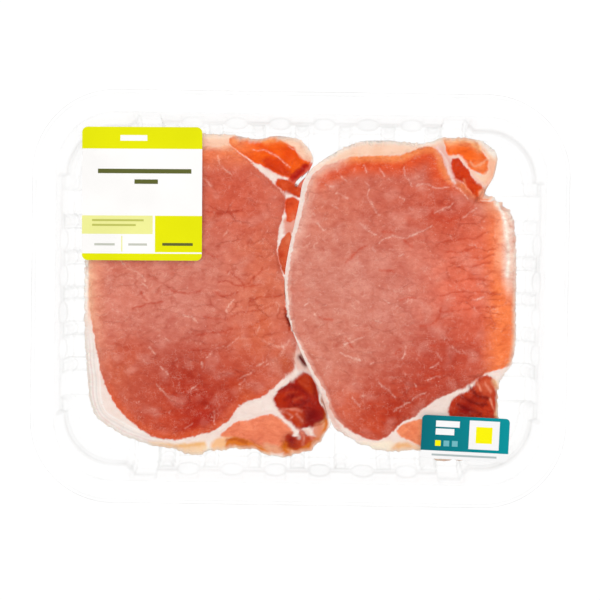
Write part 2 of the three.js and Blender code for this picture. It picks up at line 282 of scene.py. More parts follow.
def grain_group():
    """Cut meat close up: shade round 0, masks of its fine fat web and of its dark folds, and a height."""
    found = bpy.data.node_groups.get("meat_grain")
    if found:
        return found
    tree, given, out = new_group(
        "meat_grain", [("Angle", "NodeSocketFloat", 0.0)],
        [(name, "NodeSocketFloat") for name in ("Shade", "Web", "Folds", "Height")])
    place = add(tree, "ShaderNodeTexCoord").outputs["Object"]
    drift = add(tree, "ShaderNodeTexNoise",
                inputs={"Vector": place, "Scale": 320.0, "Detail": 3.0, "Roughness": 0.65})
    level = add(tree, "ShaderNodeVectorMath", operation="SUBTRACT",
                inputs={0: drift.outputs["Color"], 1: (0.5, 0.5, 0.5)})
    bent = add(tree, "ShaderNodeVectorMath", operation="MULTIPLY_ADD",
               inputs={0: level.outputs[0], 1: (0.0028, 0.0028, 0.0028), 2: place}).outputs[0]
    turn = add(tree, "ShaderNodeCombineXYZ", inputs={"Z": given.outputs["Angle"]}).outputs[0]
    along = add(tree, "ShaderNodeMapping",
                inputs={"Vector": bent, "Rotation": turn, "Scale": (0.42, 1, 1)}).outputs[0]
    fibres = add(tree, "ShaderNodeTexNoise", inputs={
        "Vector": along, "Scale": 700.0, "Detail": 4.0, "Roughness": 0.7}).outputs["Fac"]
    clouds = add(tree, "ShaderNodeTexNoise", inputs={
        "Vector": bent, "Scale": 190.0, "Detail": 3.0, "Roughness": 0.6}).outputs["Fac"]
    wide_net = pale_lines(tree, bent, 480.0, 0.045)
    wide_web = product(tree, wide_net, patches(tree, place, 260.0, 0.48, 0.72), 0.6)
    fine_net = pale_lines(tree, bent, 1100.0, 0.09)
    fine_web = product(tree, fine_net, patches(tree, place, 380.0, 0.42, 0.7), 0.6)
    cells = add(tree, "ShaderNodeTexVoronoi", inputs={"Vector": place, "Scale": 380.0})
    dots = add(tree, "ShaderNodeMapRange", inputs={
        "Value": cells.outputs["Distance"], "From Min": 0.03, "From Max": 0.1, "To Min": 1.0, "To Max": 0.0})
    chosen = worked(tree, "GREATER_THAN", cells.outputs["Color"], 0.58)
    web = worked(tree, "MAXIMUM", wide_web, fine_web)
    light = worked(tree, "MAXIMUM", web, product(tree, dots.outputs[0], chosen))
    stretched = add(tree, "ShaderNodeMapping", inputs={
        "Vector": bent, "Rotation": turn, "Scale": (0.6, 1.1, 1)}).outputs[0]
    folds = product(tree, pale_lines(tree, stretched, 215.0, 0.11), patches(tree, place, 120.0, 0.44, 0.6))
    both = worked(tree, "ADD", fibres, clouds)
    shade = worked(tree, "SUBTRACT", both, 1.0)
    raised = worked(tree, "MULTIPLY_ADD", light, 0.35, both)
    height = worked(tree, "MULTIPLY_ADD", folds, -0.9, raised)
    for name, value in (("Shade", shade), ("Web", light), ("Folds", folds), ("Height", height)):
        tree.links.new(value, out.inputs[name])
    return tree


def mixed(tree, share, first, second):
    """Colour from the first to the second by a share."""
    mix = add(tree, "ShaderNodeMix", data_type="RGBA")
    for value, socket in ((share, mix.inputs[0]), (first, mix.inputs[6]), (second, mix.inputs[7])):
        if isinstance(value, bpy.types.NodeSocket):
            tree.links.new(value, socket)
        else:
            socket.default_value = value
    return mix.outputs[2]


def meat_material(name, fibre_angle):
    """Moist raw meat: painted muscles and fat, fibres and a fine web of fat in the lean, and a wet coat."""
    material, tree, shader = new_material(name)
    paint = add(tree, "ShaderNodeAttribute", attribute_name="paint").outputs["Color"]
    fat = add(tree, "ShaderNodeAttribute", attribute_name="fat").outputs["Fac"]
    marbled = add(tree, "ShaderNodeAttribute", attribute_name="marbled").outputs["Fac"]
    folded = add(tree, "ShaderNodeAttribute", attribute_name="folded").outputs["Fac"]
    grain = add(tree, "ShaderNodeGroup", node_tree=grain_group(), inputs={"Angle": fibre_angle})
    lean = worked(tree, "MULTIPLY_ADD", fat, -0.75, 1.0)
    tone = add(tree, "ShaderNodeVectorMath", operation="MULTIPLY_ADD",
               inputs={0: grain.outputs["Shade"], 1: (0.4, 0.95, 1.05), 2: (1, 1, 1)}).outputs[0]
    shaded = add(tree, "ShaderNodeVectorMath", operation="MULTIPLY", inputs={0: paint, 1: tone}).outputs[0]
    colour = mixed(tree, lean, paint, shaded)
    dark = add(tree, "ShaderNodeVectorMath", operation="MULTIPLY",
               inputs={0: colour, 1: (0.74, 0.42, 0.34)}).outputs[0]
    colour = mixed(tree, product(tree, grain.outputs["Folds"], folded), colour, dark)
    web_colour = (*albedo(seen(248, 206, 188)), 1)
    colour = mixed(tree, product(tree, grain.outputs["Web"], marbled), colour, web_colour)
    tree.links.new(colour, shader.inputs["Base Color"])
    rough = add(tree, "ShaderNodeMapRange", inputs={
        "Value": grain.outputs["Height"], "From Min": 0.7, "From Max": 1.3, "To Min": 0.38, "To Max": 0.26})
    tree.links.new(rough.outputs[0], shader.inputs["Roughness"])
    bump = add(tree, "ShaderNodeBump", inputs={
        "Height": grain.outputs["Height"], "Strength": 0.5, "Distance": 0.0004})
    tree.links.new(bump.outputs[0], shader.inputs["Normal"])
    shader.inputs["IOR"].default_value = 1.4
    shader.inputs["Subsurface Weight"].default_value = 0.06
    shader.inputs["Subsurface Radius"].default_value = (1.0, 0.35, 0.2)
    shader.inputs["Subsurface Scale"].default_value = 0.0012
    shader.inputs["Specular IOR Level"].default_value = 0.13
    shader.inputs["Coat Weight"].default_value = 0.05
    shader.inputs["Coat Roughness"].default_value = 0.16
    return material


def sheet_group():
    """Clear sheet: a tone and an opacity that grow along its creases, painted shade for the light that the
    sheet bends at its folds.
    """
    found = bpy.data.node_groups.get("clear_sheet")
    if found:
        return found
    inputs = [("Clear Colour", "NodeSocketColor", (1, 1, 1, 1)),
              ("Crease Colour", "NodeSocketColor", (0, 0, 0, 1)),
              ("Haze", "NodeSocketFloat", 0.05),
              ("Crease Alpha", "NodeSocketFloat", 0.5)]
    outputs = [("Color", "NodeSocketColor"), ("Alpha", "NodeSocketFloat")]
    tree, given, out = new_group("clear_sheet", inputs, outputs)
    crease = add(tree, "ShaderNodeAttribute", attribute_name="crease")
    place = add(tree, "ShaderNodeTexCoord")
    uneven = add(tree, "ShaderNodeTexNoise", inputs={
        "Vector": place.outputs["Object"], "Scale": 60.0, "Detail": 2.0})
    share = add(tree, "ShaderNodeMapRange", inputs={
        "Value": uneven.outputs["Fac"], "From Min": 0.3, "From Max": 0.65, "To Min": 0.35, "To Max": 1.0})
    line = product(tree, crease.outputs["Fac"], share.outputs[0])
    colour = mixed(tree, line, given.outputs["Clear Colour"], given.outputs["Crease Colour"])
    alpha = worked(tree, "MULTIPLY_ADD", line, given.outputs["Crease Alpha"], given.outputs["Haze"])
    tree.links.new(colour, out.inputs["Color"])
    tree.links.new(alpha, out.inputs["Alpha"])
    return tree


def clear_material(name, haze, crease_alpha, crease_colour, grazing):
    """Glossy clear sheet that closes up where it is seen edge on, and in painted shade lines along its
    creases.
    """
    material, tree, shader = new_material(name)
    sheet = add(tree, "ShaderNodeGroup", node_tree=sheet_group(), inputs={
        "Clear Colour": (*albedo(seen(246, 248, 248)), 1), "Crease Colour": (*albedo(crease_colour), 1),
        "Haze": haze, "Crease Alpha": crease_alpha})
    facing = add(tree, "ShaderNodeLayerWeight", inputs={"Blend": 0.5})
    edge_on = worked(tree, "POWER", facing.outputs["Facing"], 4.0)
    alpha = add(tree, "ShaderNodeMath", operation="MULTIPLY_ADD", use_clamp=True,
                inputs={0: edge_on, 1: grazing, 2: sheet.outputs["Alpha"]})
    tree.links.new(sheet.outputs["Color"], shader.inputs["Base Color"])
    tree.links.new(alpha.outputs[0], shader.inputs["Alpha"])
    shader.inputs["Roughness"].default_value = 0.06
    shader.inputs["IOR"].default_value = 1.5
    return material


def paper_group():
    """Coated paper: a faint grain in the colour and in the height."""
    found = bpy.data.node_groups.get("coated_paper")
    if found:
        return found
    tree, given, out = new_group(
        "coated_paper", [("Color", "NodeSocketColor", (1, 1, 1, 1)), ("Mottle", "NodeSocketFloat", 0.05)],
        [("Color", "NodeSocketColor"), ("Height", "NodeSocketFloat")])
    place = add(tree, "ShaderNodeTexCoord")
    grain = add(tree, "ShaderNodeTexNoise", inputs={
        "Vector": place.outputs["Object"], "Scale": 1400.0, "Detail": 3.0})
    cockle = add(tree, "ShaderNodeTexNoise", inputs={
        "Vector": place.outputs["Object"], "Scale": 70.0, "Detail": 1.0})
    both = worked(tree, "MULTIPLY_ADD", grain.outputs["Fac"], 0.25, cockle.outputs["Fac"])
    offset = worked(tree, "SUBTRACT", both, 0.625)
    shade = worked(tree, "MULTIPLY_ADD", offset, given.outputs["Mottle"], 1.0)
    colour = add(tree, "ShaderNodeVectorMath", operation="SCALE",
                 inputs={0: given.outputs["Color"], "Scale": shade})
    tree.links.new(colour.outputs[0], out.inputs["Color"])
    tree.links.new(both, out.inputs["Height"])
    return tree


def paper_material(name, colour, east_sheen_colour=None, rough=0.26):
    """Paper in one flat colour, or in one that turns into another to the east, a painted sheen."""
    material, tree, shader = new_material(name)
    tone = (*albedo(colour), 1)
    if east_sheen_colour:
        place = add(tree, "ShaderNodeSeparateXYZ",
                    inputs={0: add(tree, "ShaderNodeTexCoord").outputs["Object"]}).outputs["X"]
        low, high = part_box("info_label")
        share = add(tree, "ShaderNodeMapRange",
                    inputs={"Value": place, "From Min": low[0], "From Max": high[0]})
        tone = mixed(tree, share.outputs[0], tone, (*albedo(east_sheen_colour), 1))
    paper = add(tree, "ShaderNodeGroup", node_tree=paper_group(), inputs={"Color": tone, "Mottle": 0.12})
    bump = add(tree, "ShaderNodeBump", inputs={
        "Height": paper.outputs["Height"], "Strength": 0.25, "Distance": 0.0002})
    tree.links.new(paper.outputs["Color"], shader.inputs["Base Color"])
    tree.links.new(bump.outputs[0], shader.inputs["Normal"])
    shader.inputs["Roughness"].default_value = rough
    shader.inputs["Specular IOR Level"].default_value = 0.13
    return material


# Pieces

def finished(name, bm, materials, smooth=True):
    """An object from the bmesh, in metres, at the origin."""
    bmesh.ops.transform(bm, matrix=Matrix.Scale(MM, 4), verts=bm.verts)
    mesh = bpy.data.meshes.new(name)
    bm.to_mesh(mesh)
    bm.free()
    piece = bpy.data.objects.new(name, mesh)
    bpy.context.collection.objects.link(piece)
    for material in materials:
        mesh.materials.append(material)
    if smooth:
        mesh.shade_smooth()
    else:
        mesh.shade_flat()
    return piece


def ring_of(bm, places):
    """A closed ring of edges through the places."""
    made = bmesh.ops.create_circle(bm, segments=len(places), radius=1)["verts"]
    for vertex, place in zip(made, places):
        vertex.co = place
    return made


# Tray wall, as the solid has it, with the bends of the real sheet
WALL_HALF_LENGTH = 85.6
WALL_HALF_WIDTH = 62.3
WALL_CORNER = 20.0
LONG_PITCH = 15.7
SHORT_PITCH = 13.1
LONG_SIDE_LEAN = 2.6
SHORT_SIDE_LEAN = 0.6
CORNER_INSET = 1.9
SCALLOP_HALF = 3.7
SCALLOP_OUT = 1.8
SHORT_SCALLOP_OUT = 0.7
SCALLOP_IN = 1.6
RIB_HALF = 2.2
RIB_DEPTH = 2.3
LONG_POCKET_AT = 54.8
SHORT_POCKET_AT = 33.3
POCKET_HALF = 4.7
STUD_AT = 40.6
STUD_HALF = 3.0
STUD_DEPTH = 2.4
RIM_STEP = 1.4
RIM_DROP = 0.8
STATION_GAP = 0.55
CORNER_TURN = 2.5
POCKET_FLANK = 0.9
CORNER_AFTER = 4.9
LONG_CORNER_FROM = 62.0
SHORT_CORNER_FROM = 46.0
FLOOR_MARGIN = 12.0
FOOT_EDGE = 1.0
MOUTH_HEIGHT = 20.0

# Levels of the wall from the floor up: height, lean, scallop, rib, lean of the pockets and the crease.
# Above the mouth's height the lean follows the slope to the rim.
WALL_LEVELS = (
    (0.22, -3.0, 0.0, 0.60, 3.2, 0.5),
    (0.6, -2.2, -0.2, 0.80, 2.3, 0.0),
    (1.6, -1.5, -0.4, 0.95, 1.5, 0.0),
    (3.6, -1.1, -0.5, 1.0, 1.2, 0.1),
    (8.0, -0.9, -0.7, 1.0, 0.9, 0.0),
    (12.6, -0.72, -0.85, 1.0, 0.6, 0.0),
    (14.2, -0.66, -0.92, 0.93, 0.55, 0.15),
    (15.6, -0.6, -0.97, 0.72, 0.5, 0.3),
    (16.6, -0.55, -1.0, 0.4, 0.45, 0.2),
    (17.3, -0.5, -1.0, 0.0, 0.4, 1.0),
    (17.6, -0.3, -0.85, 0.0, 0.38, 0.4),
    (19.7, -0.05, 0.9, 0.0, 0.32, 0.4),
    (20.0, 0.0, 1.0, 0.0, 0.3, 1.0),
    (24.0, None, 0.75, 0.0, 0.22, 0.0),
    (30.0, None, 0.35, 0.0, 0.1, 0.0),
    (34.2, None, 0.0, 0.0, 0.02, 0.1),
)
RIB_TOP = 17.0
RIB_CREASE = 0.6
SCALLOP_CREASE = 0.3
RIB_LEVEL = WALL_LEVELS[4]
SCALLOP_LEVEL = WALL_LEVELS[12]

# How much the sheet's creases, drawn as painted shade lines, and its parts seen edge on close up
TRAY_CREASE_ALPHA = 0.15
TRAY_GRAZING = 0.09

# The flange: how far in from the wall's mouth or from the rim, how far below the top, and the crease
FLANGE_INNER = ((-0.35, 0.0, 0.55), (-1.2, 0.0, 0.0))
FLANGE_OUTER = (
    (RIM_STEP + 0.4, 0.0, 0.0), (RIM_STEP, 0.05, 0.5), (RIM_STEP - 0.5, RIM_DROP, 0.3),
    (0.25, RIM_DROP, 0.2), (0.0, RIM_DROP + 0.1, 1.0),
)


class Station:
    """One place along the wall outline: its point, its outward direction and what stands there."""

    def __init__(self, place, out):
        self.place = Vector(place)
        self.out = Vector(out)
        self.share = abs(out[1])
        self.scallop = self.rib = self.pocket = self.stud = 0.0
        self.corner = 1.0

    def read_features(self, long_side, scallops, along):
        """What stands at a distance along a straight wall, from its middle."""
        pitch = LONG_PITCH if long_side else SHORT_PITCH
        pocket_at = LONG_POCKET_AT if long_side else SHORT_POCKET_AT
        from_middle = abs(along)
        self.scallop = max(dome(along - at, SCALLOP_HALF) for at in centres(scallops, pitch))
        self.rib = max(dome(along - at, RIB_HALF) for at in centres(scallops + 1, pitch))
        from_pocket = abs(from_middle - pocket_at)
        self.pocket = 1 - float(smoothstep(from_pocket, POCKET_HALF - POCKET_FLANK, POCKET_HALF))
        if long_side:
            corner_from, corner_to = pocket_at + CORNER_AFTER, LONG_CORNER_FROM
        else:
            self.stud = dome(from_middle - STUD_AT, STUD_HALF)
            corner_from, corner_to = STUD_AT + CORNER_AFTER, SHORT_CORNER_FROM
        self.corner = float(smoothstep(from_middle, corner_from, corner_to))

    def mouth(self):
        return SHORT_SIDE_LEAN + (LONG_SIDE_LEAN - SHORT_SIDE_LEAN) * self.share

    def offset(self, level):
        height, lean, scallop, rib, pocket_lean, _ = level
        if lean is None:
            rise = (height - MOUTH_HEIGHT) / (TRAY_HIGH.z - MOUTH_HEIGHT)
            lean = self.mouth() * rise
            inset = CORNER_INSET * (1 - rise)
        else:
            inset = CORNER_INSET
        out = SHORT_SCALLOP_OUT + (SCALLOP_OUT - SHORT_SCALLOP_OUT) * self.share
        depth = out if scallop > 0 else SCALLOP_IN
        ribbed = (lean - inset * self.corner + scallop * self.scallop * depth
                  - RIB_DEPTH * rib * self.rib - STUD_DEPTH * rib * self.stud)
        return ribbed + (self.mouth() - pocket_lean - ribbed) * self.pocket

    def at(self, offset, height):
        place = self.place + self.out * offset
        return Vector((place.x, place.y, height))


def dome(distance, half):
    share = min(1.0, abs(distance) / half)
    return math.sqrt(1 - share * share)


def centres(count, pitch):
    return [(i - (count - 1) / 2) * pitch for i in range(count)]


def wall_stations(scallops_long, scallops_short):
    """Stations all round the wall: each straight side, then the corner after it."""
    sides = ((WALL_HALF_LENGTH, WALL_HALF_WIDTH, scallops_short),
             (WALL_HALF_WIDTH, WALL_HALF_LENGTH, scallops_long))
    stations = []
    for side in range(4):
        long_side = side % 2 == 1
        reach, other, scallops = sides[long_side]
        straight = other - WALL_CORNER
        turn = Matrix.Rotation(side * math.pi / 2, 3, "Z")
        steps = round(2 * straight / STATION_GAP)
        for i in range(steps):
            along = -straight + 2 * straight * i / steps
            station = Station(turn @ Vector((reach, along, 0)), turn @ Vector((1, 0, 0)))
            station.read_features(long_side, scallops, along)
            stations.append(station)
        for i in range(round(90 / CORNER_TURN)):
            angle = math.radians(CORNER_TURN * i)
            out = Vector((math.cos(angle), math.sin(angle), 0))
            middle = Vector((reach - WALL_CORNER, straight, 0))
            stations.append(Station(turn @ (middle + WALL_CORNER * out), turn @ out))
    return stations


class PACK_OT_tray(bpy.types.Operator):
    """Make the clear ribbed tray"""
    bl_idname = "tray_pack.tray"
    bl_label = "Tray"

    def execute(self, context):
        sizes = context.scene.tray_sizes
        stations = wall_stations(sizes.scallops_long, sizes.scallops_short)
        rings, creases = self.sheet_rings(stations)
        bm = bmesh.new()
        crease_layer = bm.verts.layers.float.new("crease")
        station_layer = bm.verts.layers.int.new("station")
        first = ring_of(bm, rings[0])
        for i, vertex in enumerate(first):
            vertex[station_layer] = i
            vertex[crease_layer] = creases[0]
        edges = list(bm.edges)
        bmesh.ops.contextual_create(bm, geom=edges)
        for ring, crease in zip(rings[1:], creases[1:]):
            made = bmesh.ops.extrude_edge_only(bm, edges=edges)["geom"]
            new_verts = [item for item in made if isinstance(item, bmesh.types.BMVert)]
            for vertex in new_verts:
                vertex.co = ring[vertex[station_layer]]
                vertex[crease_layer] = crease
            fresh = set(new_verts)
            edges = [item for item in made if isinstance(item, bmesh.types.BMEdge)
                     and all(end in fresh for end in item.verts)]
        self.mark_features(bm, stations, station_layer, crease_layer)
        bmesh.ops.recalc_face_normals(bm, faces=bm.faces)
        material = clear_material("clear tray sheet", sizes.clearness, TRAY_CREASE_ALPHA, sizes.crease_shade_colour,
                                  TRAY_GRAZING)
        tray = finished("tray_sheet", bm, [material])
        wall = tray.modifiers.new("sheet", "SOLIDIFY")
        wall.thickness = sizes.sheet * MM
        wall.offset = 0
        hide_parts("tray")
        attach(tray, "root")
        return {"FINISHED"}

    @staticmethod
    def sheet_rings(stations):
        """The sheet's rings from the floor up and out to the rim, and how creased it is at each."""
        floor_level = WALL_LEVELS[0]
        rings = [[s.at(-FLOOR_MARGIN, floor_level[0]) for s in stations]]
        rings += [[s.at(s.offset(floor_level) - FOOT_EDGE, floor_level[0]) for s in stations]]
        rings += [[s.at(s.offset(level), level[0]) for s in stations] for level in WALL_LEVELS]
        creases = [0.0, 0.0] + [level[5] for level in WALL_LEVELS]
        for inset, drop, crease in FLANGE_INNER:
            rings.append([s.at(s.mouth() - inset, TRAY_HIGH.z - drop) for s in stations])
            creases.append(crease)
        rim_x = TRAY_HIGH.x - WALL_HALF_LENGTH
        rim_y = TRAY_HIGH.y - WALL_HALF_WIDTH
        rim = [rim_x + (rim_y - rim_x) * s.share for s in stations]
        for inset, drop, crease in FLANGE_OUTER:
            rings.append([s.at(reach - inset, TRAY_HIGH.z - drop) for s, reach in zip(stations, rim)])
            creases.append(crease)
        return rings, creases

    @staticmethod
    def mark_features(bm, stations, station_layer, crease_layer):
        """Creases at the sides of ribs, scallops and pockets, where the sheet turns quickly."""
        count = len(stations)
        turn_low = np.array([s.offset(RIB_LEVEL) for s in stations])
        turn_top = np.array([s.offset(SCALLOP_LEVEL) for s in stations])
        bend_low = np.abs(np.roll(turn_low, 1) + np.roll(turn_low, -1) - 2 * turn_low)
        bend_top = np.abs(np.roll(turn_top, 1) + np.roll(turn_top, -1) - 2 * turn_top)
        for vertex in bm.verts:
            i = vertex[station_layer] % count
            if vertex.co.z < RIB_TOP:
                vertex[crease_layer] = min(1.0, vertex[crease_layer] + RIB_CREASE * float(bend_low[i]))
            elif vertex.co.z < TRAY_HIGH.z - RIM_STEP:
                vertex[crease_layer] = min(1.0, vertex[crease_layer] + SCALLOP_CREASE * float(bend_top[i]))


def rounded_rectangle(width, height, corner, steps=10):
    places = []
    for quarter, (x, y) in enumerate(((1, 1), (-1, 1), (-1, -1), (1, -1))):
        middle = Vector((x * (width / 2 - corner), y * (height / 2 - corner), 0))
        for i in range(steps + 1):
            angle = math.radians(90 * (quarter + i / steps))
            places.append(middle + corner * Vector((math.cos(angle), math.sin(angle), 0)))
    return places


# Film: the sheet, its edge, and where it is sealed, as steps in from its edge with the crease at each
FILM_THICKNESS = 0.08
FILM_CORNER = 28.5
FILM_EDGE_CREASE = 0.8
FILM_INSETS = ((0.35, 0.0), (4.5, 0.0), (0.5, 0.25), (0.5, 0.0))
FILM_HAZE = 0.001
# The film's creases close up in a darker tone, painted shade lines
FILM_CREASE_ALPHA = 0.12
FILM_GRAZING = 0.2
FILM_CREASE_SHADE = seen(170, 174, 168)


class PACK_OT_film(bpy.types.Operator):
    """Make the clear film that is sealed onto the tray's rim"""
    bl_idname = "tray_pack.film"
    bl_label = "Film"

    def execute(self, context):
        low, high = (Vector(corner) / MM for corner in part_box("lid_film"))
        bm = bmesh.new()
        crease_layer = bm.verts.layers.float.new("crease")
        outline = rounded_rectangle(high.x - low.x, high.y - low.y, FILM_CORNER, 24)
        ring = ring_of(bm, [place + Vector((0, 0, low.z)) for place in outline])
        for vertex in ring:
            vertex[crease_layer] = FILM_EDGE_CREASE
        bmesh.ops.contextual_create(bm, geom=bm.edges[:])
        face = bm.faces[:]
        for inset, crease in FILM_INSETS:
            bmesh.ops.inset_region(bm, faces=face, thickness=inset, use_even_offset=True)
            for vertex in face[0].verts:
                vertex[crease_layer] = crease
        bmesh.ops.recalc_face_normals(bm, faces=bm.faces)
        material = clear_material("clear film", FILM_HAZE, FILM_CREASE_ALPHA, FILM_CREASE_SHADE, FILM_GRAZING)
        film = finished("film_sheet", bm, [material])
        wall = film.modifiers.new("sheet", "SOLIDIFY")
        wall.thickness = FILM_THICKNESS * MM
        wall.offset = 1
        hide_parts("lid_film")
        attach(film, "root")
        return {"FINISHED"}


# Steaks: outlines in millimetres, as the solids have them
SHARED_EDGE = (
    (0.5, 41), (-0.5, 35), (-2.5, 25), (-4.5, 15), (-5.5, 6), (-4, -7), (-0.5, -17),
    (3.5, -25.5), (7.5, -33), (10, -40),
)
PARTED = 0.03
LEFT_CENTRE = (-40.0, 3.0)
TOP_CONTACT = (3.1, 46.3)
LOW_CONTACT = (12.0, -44.8)
LEFT_FREE_EDGE = (
    TOP_CONTACT, (4.4, 50), (0.5, 56), (-8, 58.2), (-16, 57), (-25, 58.4), (-42, 58), (-58, 54.5),
    (-70, 44), (-76.5, 28), (-77.9, 5), (-76.6, -28), (-73.5, -43.5), (-66, -49.5), (-55, -54),
    (-44, -56), (-37.6, -58), (-32, -56.6), (-16, -55.6), (-9, -58), (-3, -58), (6, -54.6), (10, -49.6),
    LOW_CONTACT,
)
RIGHT_CENTRE = (36.0, 3.0)
RIGHT_FREE_EDGE = (
    LOW_CONTACT, (13.7, -47.6), (18, -50.4), (24, -53.4), (33, -55.6), (44, -55), (48, -57.4),
    (52.5, -58.9), (57, -58.4), (61, -57.9), (69, -54), (72.6, -44), (72.2, -33), (74, -28), (77.4, -22),
    (78.2, 0), (77.6, 22), (76, 31), (70, 36.6), (66.6, 38.8), (69.6, 45), (70.6, 52.5), (64.5, 57.4),
    (53, 58.5), (44, 56.4), (28, 57.2), (19, 56), (8, 50), (3, 45.6),
)

# Where the edges are torn: direction from the steak's centre and half width, in degrees
LEFT_TORN = ((-62, 20), (62, 14))
RIGHT_TORN = ((50, 12), (-50, 14), (100, 22))

# The whole line along which the steaks touch
CONTACT = (TOP_CONTACT,) + SHARED_EDGE + (LOW_CONTACT,)

# A cut face lies this far below the solid's top, and wears down to its edge by this share of the rounding
FACE_DROP = 0.75
EDGE_FALL = 0.45
EDGE_ROUNDING = (0.15, 1.9)
CONTACT_GAP = 0.02
FREE_GAP = 0.3
SIDE_LUMP = 0.25
SIDE_PALER = 0.4
SIDE_RINGS = ((0, 11.5), (0, 7.5), (0, 4.5), (-0.8, 2.4), (-2.0, 1.2), (-2.6, STEAK_LOW.z))

# The slit beside the left steak's cap, in the photo's pixels
SLIT = (
    (293.5, 184.5), (298, 179.5), (305.5, 173), (309, 170), (308.5, 172), (304.5, 179), (300.5, 181.5),
    (297.5, 187),
)

# Muscles of the left steak, by their edges in the photo's pixels
LEFT_EYE = (
    (203, 145), (218, 147), (228, 146), (240, 154), (251, 163), (262, 172), (270, 180), (280, 190),
    (286, 198), (285, 208), (282, 218), (279, 230), (277, 246), (279, 262), (283.5, 276), (285.5, 290),
    (285.5, 302), (287, 314), (291, 327), (296.5, 342), (295, 355), (293, 370), (282, 380), (270, 391),
    (262, 397), (246, 402), (236, 410), (228, 420), (217, 429), (203, 434), (188, 438), (170, 440),
    (155, 438), (140, 429), (126, 418), (115, 404), (106, 388), (100, 368), (94.5, 340), (90, 310),
    (87, 280), (85, 255), (84, 220), (92, 180), (112, 152), (150, 143),
)

# Soft patches of colour on the lean: x, y in the photo's pixels, radius, colour and strength
LEFT_STAINS = (
    (170, 300, 27, None, 0.95), (120, 290, 16, seen(218, 130, 111), 0.85), (205, 262, 14, None, 0.6),
    (230, 195, 15, seen(212, 96, 72), 0.85), (262, 300, 13, seen(220, 122, 94), 0.85),
    (262, 255, 10, seen(214, 106, 76), 0.7), (250, 352, 12, seen(214, 104, 76), 0.7),
    (205, 375, 10, seen(206, 94, 70), 0.6), (118, 375, 9, seen(214, 108, 78), 0.8),
    (178, 388, 17, seen(173, 46, 24), 0.9), (195, 424, 13, seen(176, 32, 4), 0.95),
    (160, 424, 9, seen(206, 70, 38), 0.8), (238, 388, 9, seen(186, 56, 30), 0.8),
    (146, 404, 12, seen(196, 86, 64), 0.6), (284, 362, 4.5, seen(188, 74, 40), 0.8),
    (130, 352, 6, seen(206, 92, 66), 0.6),
)

# The left steak's smaller muscles
LEFT_CAP = (
    (229, 139), (236, 136), (246, 136), (258, 139), (271, 135), (284, 134), (296, 138), (304, 147),
    (311, 160), (306, 169), (298, 178), (288, 178), (274, 173), (262, 165), (251, 161), (239, 152),
    (230, 145),
)
LEFT_CAP_PALE = (
    (268, 132), (292, 132), (304, 141), (313, 158), (308, 162), (299, 156), (295, 149), (284, 141),
)
LEFT_CAP_DARK = ((262, 160), (274, 157), (284, 164), (292, 176), (280, 174), (266, 167))
LEFT_SMALL_TOP = (
    (275, 183), (278, 179), (288, 181), (297, 186), (303, 191), (302, 198), (292, 195), (281, 190),
)
LEFT_SMALL_MIDDLE = ((286, 200), (293, 197), (300, 203), (299, 212), (294, 220), (288, 221), (285, 210))
LEFT_SMALL_LOW = (
    (283, 238), (289, 232), (293, 239), (291, 252), (286, 275), (282, 270), (278, 254), (280, 244),
)
LEFT_DARK = (
    (305, 373), (312, 378), (317, 390), (320, 403), (325, 411), (326, 420), (318, 427), (306, 428),
    (298, 430), (290, 422), (279, 412), (274, 402), (276, 394), (286, 386), (292, 381),
)
LEFT_CORAL = (
    (226, 430), (234, 423), (248, 420), (262, 416), (271, 414), (279, 418), (287, 425), (293, 434),
    (288, 442), (285, 451), (275, 453.5), (265, 450), (255, 445), (243, 441), (230, 438), (220, 436),
)
LEFT_SHRED = (
    (284, 446), (288, 434), (296, 437), (301, 430), (308, 436), (316, 438), (312, 446), (299, 451),
    (288, 450),
)

# The deepest yellow of the fat at its foot, then threads of fat and dark cracks in the eye
LEFT_TALLOW_DEEP = (
    (227, 441), (231, 438), (239, 438), (250, 442), (262, 448), (271, 455), (267, 461), (257, 456),
    (247, 451), (236, 447), (226, 449),
)
LEFT_VEINS = (
    ((217, 156), (221, 166), (232, 175)), ((204, 178), (211, 186)),
    ((121, 260), (128, 268), (140, 274), (146, 281)), ((142, 283), (148, 288)),
    ((183, 315), (193, 318), (198, 323)), ((226, 312), (229, 305), (235, 299)), ((149, 347), (155, 354)),
    ((165, 337), (169, 342)), ((201, 362), (202, 368)), ((207, 357), (214, 350), (224, 346)),
    ((228, 346), (236, 340), (245, 336)), ((160, 366), (168, 374)), ((157, 384), (163, 392), (169, 398)),
    ((188, 392), (196, 386)), ((238, 380), (247, 375), (254, 371)), ((240, 385), (246, 380)),
    ((257, 366), (268, 360), (276, 358), (283, 352), (284, 346)),
    ((262, 340), (272, 345), (283, 347), (290, 340)), ((264, 367), (275, 362)), ((186, 428), (192, 424)),
    ((214, 412), (215, 424)), ((256, 333), (260, 326)), ((112, 309), (114, 311)),
    ((253, 150), (266, 151), (276, 156), (284, 163), (290, 168)), ((228, 231), (224, 236)),
    ((273, 135), (284, 141), (292, 149), (299, 150)), ((284, 424), (292, 416), (280, 411)),
)
LEFT_CRACKS = (
    ((207, 211), (219, 213), (232, 213), (243, 210)),
    ((219, 282), (228, 281), (236, 285), (247, 287), (262, 284)), ((215, 292), (225, 296), (238, 292)),
    ((205, 317), (218, 319), (229, 318), (240, 312), (256, 311), (274, 305)),
    ((250, 301), (262, 297), (280, 296)), ((228, 329), (244, 327), (256, 324), (268, 318)),
    ((197, 336), (214, 333), (230, 332)), ((170, 290), (186, 293), (200, 291)),
    ((133, 309), (150, 303), (163, 302)), ((228, 272), (238, 278), (244, 286)),
    ((262, 268), (256, 276), (248, 284)), ((140, 292), (147, 300)), ((160, 412), (172, 416), (184, 414)),
    ((224, 404), (234, 400), (246, 392)), ((168, 392), (178, 396)), ((214, 350), (220, 346)),
    ((204, 250), (212, 256), (222, 256)), ((188, 351), (199, 350), (210, 352)),
)

